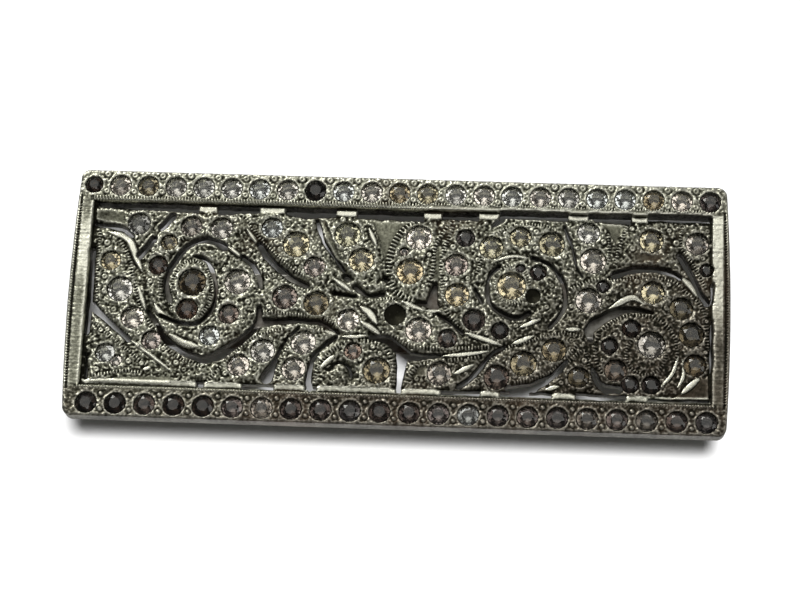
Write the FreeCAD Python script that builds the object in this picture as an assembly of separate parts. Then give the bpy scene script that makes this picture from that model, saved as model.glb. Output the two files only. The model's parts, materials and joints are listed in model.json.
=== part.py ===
"""Rhinestone hair barrette: a cast openwork plate set with faceted stones, on a
sprung steel clip whose arm is hinged at one end and caught at the other.

Row frame: +X along the length with the clip's hinge at -X, +Y across the plate,
+Z out of the decorated face.  z = 0 is the underside of the closed clip arm.
All sizes are in millimetres.
"""
import FreeCAD, Part
import math
import os

from FreeCAD import Vector

os.makedirs("parts", exist_ok=True)

# ---- Driving dimensions --------------------------------------------------------
CORNER_LENGTH = 70.0        # plate length measured at its corners
SIDE_BULGE = 0.45           # how far each end bows out at mid width
PLATE_WIDTH = 27.5
CORNER_RADIUS = 0.9
BACK_Z = 9.0                # back of the plate above the resting surface
RIM_TOP_Z = 11.0            # top of the stone-set border
PANEL_TOP_Z = 10.5          # top of the openwork leaves and scrolls
SCROLL_TOP_Z = 10.8         # top of the raised scroll bands
PANEL_HALF_LENGTH = 33.5
PANEL_TOP_Y = 10.2          # upper edge of the sunk panel
PANEL_BOTTOM_Y = -10.3

CLIP_HALF_LENGTH = 29.6
CLIP_HALF_WIDTH = 3.0
BASE_THICKNESS = 0.6
ARM_THICKNESS = 0.55
ARM_HALF_WIDTH = 3.05
BOW_THICKNESS = 0.3
BOW_HALF_WIDTH = 2.4
BOW_HALF_LENGTH = 23.3
BOW_DROP = 2.3              # how far the bow arches away from the base bar
HINGE_X = -27.5
HINGE_Z = 6.9
PIN_RADIUS = 0.6
PIN_CLEARANCE = 0.05        # between the pin and the arm's rolled knuckle
RIVET_X = (-18.4, 18.9)     # on solid metal, between the pierced gaps
RIVET_RADIUS = 0.6
CATCH_X = 27.2              # middle of the catch and of its two wings
WING_HALF_LENGTH = 1.5
WING_PIVOT_Y = 2.05
WING_PIVOT_Z = 7.95
WING_KNUCKLE = 0.35

# ---- Stones: standard chatons, sized by their girdle diameter -------------------
BORDER_STONE = 2.2
CORNER_STONE = 1.8          # the first stone of the top row, close to the corner
TOP_ROW = {"count": 23, "pitch": 3.045, "middle_x": -0.25, "y": 12.05}
BOTTOM_ROW = {"count": 22, "pitch": 3.12, "middle_x": 0.2, "y": -12.35}
GIRDLE_BELOW = 0.2          # girdle's lower edge below the metal around it
SEAT_CLEARANCE = 0.05
PAVILION_SHARE = 0.6        # pavilion depth, girdle and crown as shares of radius
GIRDLE_SHARE = 0.1
CROWN_SHARE = 0.3
TABLE_SHARE = 0.55
CULET_SHARE = 0.2

# Which colour each stone of the two rows has: c clear, a amber, s smoky
TOP_COLOURS = "scacccccsccaacccccccacs"
BOTTOM_COLOURS = "sssssscsssssscssscscss"

# Stones of the panel: x, y, diameter, by side of the plate and colour
PANEL_STONES = {
    "left_clear_stones": [
        (-28.45, 7.85, 2.4), (-22.7, 7.75, 2.2), (-19.4, 7.65, 2.3), (-29.95, 0.45, 2.7),
        (-28.35, -2.7, 2.4), (-31.0, -6.7, 2.0), (-29.8, -7.5, 1.2), (-17.3, 1.65, 2.7),
        (-19.95, -4.45, 2.1), (-14.15, -5.95, 2.5), (-16.65, -7.6, 2.3), (-13.9, 7.85, 2.2)],
    "left_amber_stones": [
        (-31.2, 3.6, 2.1), (-25.0, 5.85, 1.7), (-22.2, 1.45, 2.9), (-11.2, 6.05, 2.8)],
    "left_rose_stones": [
        (-26.0, 3.2, 2.0), (-26.15, -5.15, 2.0), (-22.55, -1.6, 2.2), (-18.05, -2.0, 2.1),
        (-12.1, 0.1, 2.6)],
    "centre_clear_stones": [
        (2.05, 7.25, 2.7), (0.5, 5.6, 0.9), (-5.2, -2.2, 2.3), (2.4, -3.1, 2.7),
        (-9.85, -4.85, 2.6), (-10.75, -7.8, 2.5), (4.8, -7.8, 2.5)],
    "centre_amber_stones": [
        (-5.7, 7.35, 2.7), (-4.1, 4.5, 2.6), (1.2, 3.4, 2.8), (6.35, 0.95, 2.5),
        (9.85, 6.35, 2.5), (12.95, 7.65, 2.2), (16.35, 6.95, 2.7), (12.15, 2.15, 3.0),
        (-8.7, -0.5, 2.6), (-1.9, -7.7, 2.8), (13.65, -6.45, 2.7)],
    "centre_rose_stones": [
        (-9.1, 3.6, 2.2), (6.15, 4.3, 2.4), (5.5, -3.95, 2.0), (-4.5, -5.65, 1.8),
        (10.85, -8.0, 2.6)],
    "centre_smoky_stones": [
        (7.05, 7.35, 1.9), (13.05, 4.1, 0.9), (14.95, 3.7, 1.7), (8.25, -1.8, 2.3),
        (11.05, -2.9, 1.8)],
    "right_clear_stones": [
        (20.25, 8.35, 2.3), (20.8, 5.2, 2.7), (31.9, 7.45, 2.4), (20.4, 0.75, 2.7),
        (27.15, -3.9, 2.8), (23.4, -6.85, 2.3)],
    "right_amber_stones": [
        (27.0, 7.65, 2.5), (27.2, 1.85, 2.4), (30.25, 0.15, 2.4), (31.35, -2.7, 2.6),
        (31.75, -6.05, 2.3), (16.85, -4.85, 2.5), (19.5, -7.75, 2.2)],
    "right_smoky_stones": [
        (33.05, 4.5, 1.8), (21.9, 2.35, 1.3), (25.0, -2.2, 1.9), (22.7, -4.2, 1.7),
        (24.95, -8.35, 1.8), (27.15, -8.35, 1.9)],
}
# Settings that have lost their stone: the seat is there and nothing is in it
EMPTY_SEATS = [(-0.2, -1.5, 2.2), (14.45, 1.05, 1.5)]

# ---- Pierced gaps between the leaves: width, then the points of its middle line --
GAPS = [
    (0.75, (-24.85, 8.8), (-25.9, 7.45)),
    (0.75, (-26.7, 6.15), (-28.1, 4.3)),
    (0.5, (-33.05, 7.65), (-31.35, 7.55), (-30.05, 7.25), (-29.3, 6.55)),
    (0.6, (-32.85, -1.7), (-31.35, -2.8), (-28.55, -5.25)),
    (0.6, (-26.75, -1.9), (-25.75, -3.3), (-24.65, -5.0), (-22.85, -6.25), (-20.55, -7.1)),
    (0.9, (-20.05, -7.0), (-18.45, -6.35), (-16.85, -5.05), (-15.45, -3.55)),
    (0.7, (-14.85, -1.1), (-14.85, -2.8), (-12.05, -2.6), (-9.45, -2.5), (-6.8, -3.4)),
    (0.7, (-19.0, 5.55), (-21.3, 6.25), (-23.4, 5.0), (-24.7, 2.8), (-24.9, 0.65),
     (-24.45, -0.8)),
    (0.4, (-22.2, 4.4), (-20.5, 3.5), (-19.55, 0.45), (-20.15, -1.9), (-21.95, -3.25),
     (-23.75, -3.0), (-25.25, -2.4)),
    (0.6, (-15.2, 5.95), (-14.0, 4.3), (-11.8, 2.45), (-10.1, 1.55)),
    (0.5, (-16.9, 4.5), (-15.8, 3.6), (-15.0, 2.25), (-14.85, 1.15)),
    (0.3, (-9.1, 8.9), (-8.2, 6.45), (-6.9, 4.6), (-5.9, 3.2)),
    (0.5, (-4.8, 1.65), (-3.2, 0.65), (-1.6, 0.85)),
    (0.4, (-6.8, 0.75), (-4.6, 0.35)),
    (0.3, (4.3, -1.2), (5.7, -2.1), (7.05, -3.2)),
    (0.4, (8.35, 1.65), (8.95, 0.25)),
    (0.5, (10.75, 4.3), (9.65, 2.35), (9.85, 0.25), (11.35, -1.0), (12.85, -1.4), (14.05, -0.9)),
    (0.5, (14.35, 5.4), (16.55, 4.4), (17.75, 2.55), (17.85, 0.15), (17.25, -1.2), (16.35, -2.2)),
    (0.35, (17.65, 9.0), (18.55, 6.65), (19.05, 4.7), (19.65, 3.4)),
    (0.8, (23.3, 3.8), (24.9, 4.3), (27.2, 4.5), (29.0, 4.2)),
    (0.7, (30.0, 6.05), (31.1, 4.3), (32.15, 2.25), (32.85, 0.95)),
    (0.8, (20.5, -3.3), (20.9, -1.6), (23.2, -0.35), (25.3, -0.1), (27.2, -0.35)),
    (0.7, (21.0, -6.85), (21.6, -8.25), (23.0, -9.0)),
    (0.6, (18.2, -6.15), (16.8, -7.65), (14.85, -8.8), (12.45, -9.1)),
    (0.8, (-2.5, -4.05), (-0.7, -4.45), (0.6, -5.85), (0.6, -7.25), (0.55, -9.2)),
    (0.7, (1.1, -5.75), (2.9, -5.9), (4.7, -5.75)),
    (0.3, (-6.85, -7.6), (-5.95, -6.95), (-5.05, -7.25), (-4.55, -8.3)),
    (0.6, (-6.5, -4.15), (-7.65, -5.15), (-8.75, -6.55), (-9.15, -8.6), (-8.95, -9.7)),
    (0.3, (-12.75, -6.75), (-11.85, -4.85), (-10.45, -3.3)),
    (0.9, (-13.15, -9.3), (-13.65, -8.2)),
    (0.5, (11.65, -4.65), (10.05, -5.75), (9.05, -7.05), (8.05, -8.3), (7.0, -9.1)),
    (0.8, (2.7, 1.25), (3.7, 0.05)),
]
# Straight slots along the panel's upper and lower edge: x from, x to, mid y, width
EDGE_SLOTS = [
    (-32.95, -21.95, 9.65, 0.6), (-19.95, -15.35, 9.6, 0.7), (-12.5, -7.0, 9.6, 0.7),
    (-4.7, 2.45, 9.55, 0.8), (4.45, 8.35, 9.7, 0.7), (10.65, 18.05, 9.95, 0.6),
    (20.35, 24.8, 9.95, 0.5), (26.6, 33.2, 10.0, 0.5),
    (-16.1, -12.75, -9.85, 0.6), (-9.55, -8.15, -9.9, 0.5), (0.2, 0.9, -9.8, 0.6),
    (5.0, 9.15, -9.85, 0.6), (11.25, 16.7, -9.8, 0.6), (19.3, 24.45, -9.8, 0.6),
]
# Slots just inside the end rails: x, y from, y to, width
END_SLOTS = [(-33.1, -4.55, 4.9, 0.4), (33.35, 0.85, 2.9, 0.25), (33.3, -6.75, -1.2, 0.25)]

# Raised scroll bands: width, then the points of the middle line
SCROLLS = [
    (1.6, (-17.3, 6.85), (-19.5, 7.25), (-22.5, 7.25), (-24.8, 5.3), (-26.0, 3.1),
     (-26.15, 0.65), (-25.45, -1.8)),
    (1.3, (8.75, 2.65), (9.95, 5.85), (12.95, 7.15), (16.15, 6.55), (18.05, 4.7), (18.65, 2.25)),
    (1.5, (20.2, 2.45), (23.0, 2.45), (27.0, 2.75), (30.35, 1.45), (32.15, -1.2), (32.45, -5.25)),
]


def flat(x, y, z=0.0):
    return Vector(x, y, z)


def curve_through(points):
    """Edge through the points: a straight line for two, else a smooth spline."""
    if len(points) == 2:
        return Part.LineSegment(points[0], points[1]).toShape()
    curve = Part.BSplineCurve()
    curve.interpolate(points)
    return curve.toShape()


def ribbon(width, points, z):
    """Face of even width along a line of (x, y) points, with round ends."""
    middle = curve_through([flat(x, y) for x, y in points])
    steps = 3 * len(points)
    left, right = [], []
    first, last = middle.FirstParameter, middle.LastParameter
    for i in range(steps + 1):
        at = first + (last - first) * i / steps
        along = middle.tangentAt(at)
        side = Vector(-along.y, along.x, 0) * (width / 2)
        left.append(middle.valueAt(at) + side)
        right.append(middle.valueAt(at) - side)
    start_tip = middle.valueAt(first) - middle.tangentAt(first) * (width / 2)
    end_tip = middle.valueAt(last) + middle.tangentAt(last) * (width / 2)
    edges = [
        curve_through(left),
        Part.Arc(left[-1], end_tip, right[-1]).toShape(),
        curve_through(right[::-1]),
        Part.Arc(right[0], start_tip, left[0]).toShape(),
    ]
    face = Part.Face(Part.Wire(edges))
    face.translate(Vector(0, 0, z))
    return face


def raised(face, height):
    return face.extrude(Vector(0, 0, height))


def box(x0, x1, y0, y1, z0, z1):
    return Part.makeBox(x1 - x0, y1 - y0, z1 - z0, Vector(x0, y0, z0))


def upright(x, y, radius, z0, z1):
    return Part.makeCylinder(radius, z1 - z0, Vector(x, y, z0))


def stone(x, y, diameter, surface_z):
    """One faceted stone as a turned body: culet, pavilion, girdle, crown, table."""
    radius = diameter / 2
    girdle_z = surface_z - GIRDLE_BELOW
    outline = [
        (0, girdle_z - PAVILION_SHARE * radius),
        (CULET_SHARE * radius, girdle_z - PAVILION_SHARE * radius),
        (radius, girdle_z),
        (radius, girdle_z + GIRDLE_SHARE * radius),
        (TABLE_SHARE * radius, girdle_z + (GIRDLE_SHARE + CROWN_SHARE) * radius),
        (0, girdle_z + (GIRDLE_SHARE + CROWN_SHARE) * radius),
    ]
    wire = Part.makePolygon([Vector(r, 0, z) for r, z in outline + outline[:1]])
    body = Part.Face(wire).revolve(Vector(0, 0, 0), Vector(0, 0, 1), 360)
    solid = Part.Solid(body) if body.ShapeType != "Solid" else body
    solid.translate(Vector(x, y, 0))
    return solid


def seat(x, y, diameter, surface_z):
    """Blind round hole that a stone of this diameter sits in."""
    radius = diameter / 2
    floor_z = surface_z - GIRDLE_BELOW - PAVILION_SHARE * radius
    return upright(x, y, radius + SEAT_CLEARANCE, floor_z, RIM_TOP_Z + 1)


def row_places(row):
    """Place and diameter of each stone of a border row, left to right."""
    first = row["middle_x"] - row["pitch"] * (row["count"] - 1) / 2
    places = [(first + row["pitch"] * i, row["y"], BORDER_STONE)
              for i in range(row["count"])]
    if row is TOP_ROW:
        x, y, _ = places[0]
        places[0] = (x + 0.15, y, CORNER_STONE)
    return places


def cast_plate():
    """The openwork casting with its border, panel, pierced gaps and stone seats."""
    half_length = CORNER_LENGTH / 2
    half_width = PLATE_WIDTH / 2
    corners = [flat(-half_length, -half_width), flat(half_length, -half_width),
               flat(half_length, half_width), flat(-half_length, half_width)]
    outline = Part.Wire([
        Part.LineSegment(corners[0], corners[1]).toShape(),
        Part.Arc(corners[1], flat(half_length + SIDE_BULGE, 0), corners[2]).toShape(),
        Part.LineSegment(corners[2], corners[3]).toShape(),
        Part.Arc(corners[3], flat(-half_length - SIDE_BULGE, 0), corners[0]).toShape(),
    ])
    plate = Part.Face(outline).extrude(Vector(0, 0, RIM_TOP_Z - BACK_Z))
    plate.translate(Vector(0, 0, BACK_Z))
    uprights = [e for e in plate.Edges if abs(e.Vertexes[0].Z - e.Vertexes[-1].Z) > 1]
    plate = plate.makeFillet(CORNER_RADIUS, uprights)
    top_edges = [e for e in plate.Edges if e.BoundBox.ZMin > RIM_TOP_Z - 0.01]
    plate = plate.makeFillet(0.35, top_edges)
    plate = plate.cut(box(-PANEL_HALF_LENGTH, PANEL_HALF_LENGTH, PANEL_BOTTOM_Y,
                          PANEL_TOP_Y, PANEL_TOP_Z, RIM_TOP_Z + 1))
    band_height = SCROLL_TOP_Z - PANEL_TOP_Z + 0.4
    bands = [raised(ribbon(width, points, PANEL_TOP_Z - 0.4), band_height)
             for width, *points in SCROLLS]
    plate = plate.fuse(bands)
    through = RIM_TOP_Z - BACK_Z + 2
    cutters = [raised(ribbon(width, points, BACK_Z - 1), through)
               for width, *points in GAPS]
    for x0, x1, y, width in EDGE_SLOTS:
        cutters.append(box(x0, x1, y - width / 2, y + width / 2, BACK_Z - 1, RIM_TOP_Z + 1))
    for x, y0, y1, width in END_SLOTS:
        cutters.append(box(x - width / 2, x + width / 2, y0, y1, BACK_Z - 1, RIM_TOP_Z + 1))
    groove_depth = 0.2
    for side in (-1, 1):
        x = side * 34.8
        cutters.append(box(x - 0.12, x + 0.12, PANEL_BOTTOM_Y, PANEL_TOP_Y,
                           RIM_TOP_Z - groove_depth, RIM_TOP_Z + 1))
    for x, y, diameter in row_places(TOP_ROW) + row_places(BOTTOM_ROW):
        cutters.append(seat(x, y, diameter, RIM_TOP_Z))
    for places in list(PANEL_STONES.values()) + [EMPTY_SEATS]:
        for x, y, diameter in places:
            cutters.append(seat(x, y, diameter, PANEL_TOP_Z))
    for x in RIVET_X:
        cutters.append(upright(x, 0, RIVET_RADIUS + 0.01, BACK_Z - 1, BACK_Z + 0.45))
    return plate.cut(cutters)


def bent_strip(path, thickness, half_width):
    """Strip of sheet: path is edges of one face in the XZ plane, y = 0."""
    wire = Part.Wire(path)
    face = wire.makeOffset2D(thickness, fill=True, openResult=True)
    face.translate(Vector(0, -half_width, 0))
    return face.extrude(Vector(0, 2 * half_width, 0))


def side(x, z):
    return Vector(x, 0, z)


def clip_base():
    """Steel base bar with hinge ears folded down and hooks that hold the bow."""
    bar_bottom = BACK_Z - BASE_THICKNESS
    bar = box(-CLIP_HALF_LENGTH, CLIP_HALF_LENGTH, -CLIP_HALF_WIDTH, CLIP_HALF_WIDTH,
              bar_bottom, BACK_Z)
    ends = [e for e in bar.Edges if abs(e.Vertexes[0].Z - e.Vertexes[-1].Z) > 0.1]
    bar = bar.makeFillet(1.2, ends)
    ear_inner, ear_outer, ear_reach = 3.15, 3.65, 1.5
    pieces = [box(HINGE_X - ear_reach, HINGE_X + ear_reach, -ear_outer, ear_outer,
                  bar_bottom, BACK_Z)]
    for y in (-ear_outer, ear_inner):
        cheek = box(HINGE_X - ear_reach, HINGE_X + ear_reach, y, y + ear_outer - ear_inner,
                    HINGE_Z, bar_bottom)
        tip = Part.makeCylinder(ear_reach, ear_outer - ear_inner,
                                Vector(HINGE_X, y, HINGE_Z), Vector(0, 1, 0))
        pieces += [cheek, tip]
    lip_top = bar_bottom - BOW_THICKNESS - 0.25
    for end in (-1, 1):
        post = sorted((end * (BOW_HALF_LENGTH + 0.5), end * (BOW_HALF_LENGTH + 0.9)))
        lip = sorted((end * (BOW_HALF_LENGTH - 0.7), end * (BOW_HALF_LENGTH + 0.9)))
        pieces.append(box(*post, -1.0, 1.0, lip_top - 0.4, bar_bottom))
        pieces.append(box(*lip, -1.0, 1.0, lip_top - 0.4, lip_top))
    base = bar.fuse(pieces)
    holes = [Part.makeCylinder(PIN_RADIUS + 0.01, 10, Vector(HINGE_X, -5, HINGE_Z),
                               Vector(0, 1, 0))]
    for x in RIVET_X:
        holes.append(upright(x, 0, RIVET_RADIUS + 0.01, 0, BACK_Z + 1))
    holes.append(upright(CATCH_X, 0, 0.51, 0, BACK_Z + 1))
    return base.cut(holes).removeSplitter()


def hinge_pin():
    """Headed pin through both ears and the arm's knuckle."""
    half = 3.65
    pin = Part.makeCylinder(PIN_RADIUS, 2 * half, Vector(HINGE_X, -half, HINGE_Z),
                            Vector(0, 1, 0))
    heads = []
    for y in (-half - 0.3, half):
        heads.append(Part.makeCylinder(0.95, 0.3, Vector(HINGE_X, y, HINGE_Z),
                                       Vector(0, 1, 0)))
    return pin.fuse(heads)


def clasp_arm():
    """Sprung steel arm: rolled knuckle, straight bar and a windowed catch head."""
    t = ARM_THICKNESS
    bore = PIN_RADIUS + PIN_CLEARANCE
    outer_x = HINGE_X - bore - t
    bend = 2.1
    ramp_bend, ramp_angle = 3.0, math.radians(45)
    head_z = 4.0                                   # underside of the catch head
    arcs_rise = 2 * ramp_bend * (1 - math.cos(ramp_angle))
    ramp = (head_z - arcs_rise) / math.sin(ramp_angle)
    run = 2 * ramp_bend * math.sin(ramp_angle) + ramp * math.cos(ramp_angle)
    ramp_end = 24.0
    ramp_start = ramp_end - run
    half_angle = ramp_angle / 2
    a1 = side(ramp_start, 0)
    a2 = side(ramp_start + ramp_bend * math.sin(half_angle),
              ramp_bend * (1 - math.cos(half_angle)))
    a3 = side(ramp_start + ramp_bend * math.sin(ramp_angle),
              ramp_bend * (1 - math.cos(ramp_angle)))
    b3 = side(ramp_end, head_z)
    b2 = side(ramp_end - ramp_bend * math.sin(half_angle),
              head_z - ramp_bend * (1 - math.cos(half_angle)))
    b1 = side(ramp_end - ramp_bend * math.sin(ramp_angle),
              head_z - ramp_bend * (1 - math.cos(ramp_angle)))
    corner = side(outer_x + bend * (1 - math.cos(math.pi / 4)),
                  bend * (1 - math.sin(math.pi / 4)))
    path = [
        Part.LineSegment(side(outer_x, HINGE_Z), side(outer_x, bend)).toShape(),
        Part.Arc(side(outer_x, bend), corner, side(outer_x + bend, 0)).toShape(),
        Part.LineSegment(side(outer_x + bend, 0), a1).toShape(),
        Part.Arc(a1, a2, a3).toShape(),
        Part.LineSegment(a3, b1).toShape(),
        Part.Arc(b1, b2, b3).toShape(),
        Part.LineSegment(b3, side(30.7, head_z)).toShape(),
    ]
    head_half = 4.0
    strip = bent_strip(path, t, head_half)
    if strip.BoundBox.ZMin < -0.1:
        strip = bent_strip(path, -t, head_half)
    neck = box(outer_x - 1, 23.4, -ARM_HALF_WIDTH, ARM_HALF_WIDTH, -1, 9)
    head = box(23.3, 31, -head_half, head_half, -1, 9)
    corners = [e for e in head.Edges if abs(e.Vertexes[0].Z - e.Vertexes[-1].Z) > 1]
    head = head.makeFillet(0.9, corners)
    strip = strip.common(neck.fuse(head))
    knuckle = Part.makeCylinder(bore + t, 2 * ARM_HALF_WIDTH,
                                Vector(HINGE_X, -ARM_HALF_WIDTH, HINGE_Z), Vector(0, 1, 0))
    eye = Part.makeCylinder(bore, 10, Vector(HINGE_X, -5, HINGE_Z), Vector(0, 1, 0))
    window = box(24.9, 29.6, -2.75, 2.75, -1, 9)
    edges = [e for e in window.Edges if abs(e.Vertexes[0].Z - e.Vertexes[-1].Z) > 1]
    window = window.makeFillet(0.5, edges)
    return strip.fuse(knuckle).cut([eye, window]).removeSplitter()


def tension_bow():
    """Thin arched strip that presses the hair against the arm."""
    end_z = BACK_Z - BASE_THICKNESS - BOW_THICKNESS - 0.05
    arch = Part.Arc(side(-BOW_HALF_LENGTH, end_z), side(0, end_z - BOW_DROP),
                    side(BOW_HALF_LENGTH, end_z)).toShape()
    bow = bent_strip([arch], BOW_THICKNESS, BOW_HALF_WIDTH)
    if bow.BoundBox.ZMax < end_z + 0.1:
        bow = bent_strip([arch], -BOW_THICKNESS, BOW_HALF_WIDTH)
    return bow


def catch_saddle():
    """Small plate under the base bar that carries the two catch wings."""
    top = BACK_Z - BASE_THICKNESS
    half_y = WING_PIVOT_Y - WING_KNUCKLE - 0.05
    saddle = box(CATCH_X - 1.9, CATCH_X + 1.9, -half_y, half_y, top - 0.55, top)
    return saddle.cut(upright(CATCH_X, 0, 0.51, 0, 12))


def catch_wing(sign):
    """Sprung prong with a barb that hooks under the arm's window and a finger tip."""
    outline = [
        (1.85, 7.95), (2.28, 7.95), (2.46, 4.35), (2.70, 3.92), (2.70, 3.72),
        (2.36, 3.3), (2.44, 2.6), (2.68, 1.4), (2.30, 1.3), (2.02, 2.6), (1.94, 3.5),
        (2.0, 4.4),
    ]
    start = CATCH_X - WING_HALF_LENGTH
    points = [Vector(start, sign * y, z) for y, z in outline + outline[:1]]
    strip = Part.Face(Part.makePolygon(points)).extrude(Vector(2 * WING_HALF_LENGTH, 0, 0))
    knuckle = Part.makeCylinder(WING_KNUCKLE, 2 * WING_HALF_LENGTH,
                                Vector(start, sign * WING_PIVOT_Y, WING_PIVOT_Z),
                                Vector(1, 0, 0))
    return strip.fuse(knuckle).removeSplitter()


def domed_rivet(x, shank_radius, head_radius, head_bottom, head_top, shank_top):
    shank = upright(x, 0, shank_radius, head_top - 0.05, shank_top)
    head = upright(x, 0, head_radius, head_bottom, head_top)
    rims = [e for e in head.Edges if e.BoundBox.ZMax < head_bottom + 0.01]
    head = head.makeFillet(0.25, rims)
    return head.fuse(shank).removeSplitter()


def stone_groups():
    """Every stone as its own solid, in one group per row or side and colour."""
    groups = {}
    words = {"c": "clear", "a": "amber", "s": "smoky"}
    for row_name, row, colours in (("top_row", TOP_ROW, TOP_COLOURS),
                                   ("bottom_row", BOTTOM_ROW, BOTTOM_COLOURS)):
        for (x, y, diameter), colour in zip(row_places(row), colours):
            name = f"{row_name}_{words[colour]}_stones"
            groups.setdefault(name, []).append(stone(x, y, diameter, RIM_TOP_Z))
    for name, places in PANEL_STONES.items():
        groups[name] = [stone(x, y, size, PANEL_TOP_Z) for x, y, size in places]
    return {name: Part.makeCompound(solids) for name, solids in groups.items()}


nodes = {
    "cast_plate": cast_plate(),
    "clip_base": clip_base(),
    "hinge_pin": hinge_pin(),
    "clasp_arm": clasp_arm(),
    "tension_bow": tension_bow(),
    "catch_saddle": catch_saddle(),
    "catch_wing_upper": catch_wing(1),
    "catch_wing_lower": catch_wing(-1),
    "catch_rivet": domed_rivet(CATCH_X, 0.5, 0.9, 7.45, 7.85, BACK_Z),
    "clip_rivets": Part.makeCompound([
        domed_rivet(x, RIVET_RADIUS, 1.1, 7.9, 8.4, BACK_Z + 0.45) for x in RIVET_X]),
}
nodes.update(stone_groups())
for name, shape in nodes.items():
    shape.exportStep(f"parts/{name}.step")
    limits = shape.BoundBox
    print(f"{name:28s} solids {len(shape.Solids):3d} faces {len(shape.Faces):4d}"
          f" valid {shape.isValid()} z {limits.ZMin:.2f}..{limits.ZMax:.2f}"
          f" x {limits.XMin:.2f}..{limits.XMax:.2f} volume {shape.Volume:.2f}")
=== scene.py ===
import json
import math

import bpy
import numpy as np
from mathutils import Matrix, Vector
from mathutils.geometry import delaunay_2d_cdt

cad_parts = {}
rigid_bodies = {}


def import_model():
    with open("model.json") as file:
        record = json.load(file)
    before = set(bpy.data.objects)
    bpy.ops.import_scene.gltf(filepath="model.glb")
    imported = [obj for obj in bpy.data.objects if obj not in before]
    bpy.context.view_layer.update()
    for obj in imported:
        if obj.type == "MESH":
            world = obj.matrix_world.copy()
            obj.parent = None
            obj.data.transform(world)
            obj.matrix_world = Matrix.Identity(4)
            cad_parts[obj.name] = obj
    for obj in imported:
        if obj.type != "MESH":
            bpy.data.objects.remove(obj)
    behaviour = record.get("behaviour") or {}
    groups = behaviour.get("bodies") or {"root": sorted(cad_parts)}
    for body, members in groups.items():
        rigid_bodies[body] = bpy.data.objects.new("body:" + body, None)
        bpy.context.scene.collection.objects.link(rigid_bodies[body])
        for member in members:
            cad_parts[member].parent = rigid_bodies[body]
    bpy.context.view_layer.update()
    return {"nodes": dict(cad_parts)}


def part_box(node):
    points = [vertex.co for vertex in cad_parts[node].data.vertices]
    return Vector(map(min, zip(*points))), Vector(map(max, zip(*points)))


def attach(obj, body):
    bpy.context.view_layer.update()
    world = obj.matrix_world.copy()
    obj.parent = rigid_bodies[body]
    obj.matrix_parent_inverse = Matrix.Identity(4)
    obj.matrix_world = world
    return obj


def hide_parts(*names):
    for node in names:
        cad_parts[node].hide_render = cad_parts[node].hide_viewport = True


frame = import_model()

# ---- The viewer ----------------------------------------------------------------------
# A barrette lying face up on a table, seen from above its lower edge by someone a
# quarter of a metre away, with a long lens.  The table's top is z = 0.
eye_place = (0.01173, -0.06802, 0.24326)
turn, tilt, roll = (math.radians(angle) for angle in (9.541, 16.54, -7.365))
view_width_angle = math.radians(20)

eye = bpy.data.cameras.new("eye")
eye.sensor_width = 36
eye.lens = eye.sensor_width / 2 / math.tan(view_width_angle / 2)
eye.clip_start = 0.01
eye_object = bpy.data.objects.new("eye", eye)
bpy.context.scene.collection.objects.link(eye_object)
eye_object.matrix_world = (
    Matrix.Translation(eye_place)
    @ Matrix.Rotation(turn, 4, "Z") @ Matrix.Rotation(tilt, 4, "X")
    @ Matrix.Rotation(roll, 4, "Z"))
bpy.context.scene.camera = eye_object

# ---- The table and the light ---------------------------------------------------------
# A plain pale table under its own soft lamp, nearly straight above.  Five other lamps
# light the barrette: a ceiling, a panel overhead, a window beyond its upper left and two
# fills.  They pass the table by, so that the plate's shadow stays deep in its openings.
bpy.context.scene.view_settings.view_transform = "Standard"
table_half = 0.8
table_mesh = bpy.data.meshes.new("table_top")
table_mesh.from_pydata(
    [(x * table_half, y * table_half, 0) for x, y in ((-1, -1), (1, -1), (1, 1), (-1, 1))],
    [], [(0, 1, 2, 3)])
table = bpy.data.objects.new("table_top", table_mesh)
bpy.context.scene.collection.objects.link(table)
table_finish = bpy.data.materials.new("pale_table")
table_finish.use_nodes = True
table_shader = table_finish.node_tree.nodes["Principled BSDF"]
table_shader.inputs["Base Color"].default_value = (0.86, 0.86, 0.86, 1)
table_shader.inputs["Roughness"].default_value = 0.9
table_shader.inputs["Specular IOR Level"].default_value = 0.1
# Seen from beneath, the table isn't there: the clip's arm swings down past its top.
table_nodes = table_finish.node_tree
underside = table_nodes.nodes.new("ShaderNodeNewGeometry")
unseen = table_nodes.nodes.new("ShaderNodeBsdfTransparent")
either_side = table_nodes.nodes.new("ShaderNodeMixShader")
table_nodes.links.new(underside.outputs["Backfacing"], either_side.inputs["Fac"])
table_nodes.links.new(table_shader.outputs["BSDF"], either_side.inputs[1])
table_nodes.links.new(unseen.outputs["BSDF"], either_side.inputs[2])
table_nodes.links.new(either_side.outputs["Shader"],
                      table_nodes.nodes["Material Output"].inputs["Surface"])
table_mesh.materials.append(table_finish)
only_table = bpy.data.collections.new("only_table")
only_table.objects.link(table)
not_table = bpy.data.collections.new("not_table")
not_table.objects.link(table)
not_table.collection_objects[0].light_linking.link_state = "EXCLUDE"


def soft_light(name, place, width, height, brightness, colour, lights):
    """A rectangular lamp facing the origin; brightness is that of its own face."""
    lamp = bpy.data.lights.new(name, "AREA")
    lamp.shape = "RECTANGLE"
    lamp.size, lamp.size_y = width, height
    lamp.energy = brightness * math.pi * width * height
    lamp.color = colour
    holder = bpy.data.objects.new(name, lamp)
    holder.location = place
    holder.rotation_euler = (-Vector(place)).to_track_quat("-Z", "Y").to_euler()
    bpy.context.scene.collection.objects.link(holder)
    holder.light_linking.receiver_collection = lights


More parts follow.
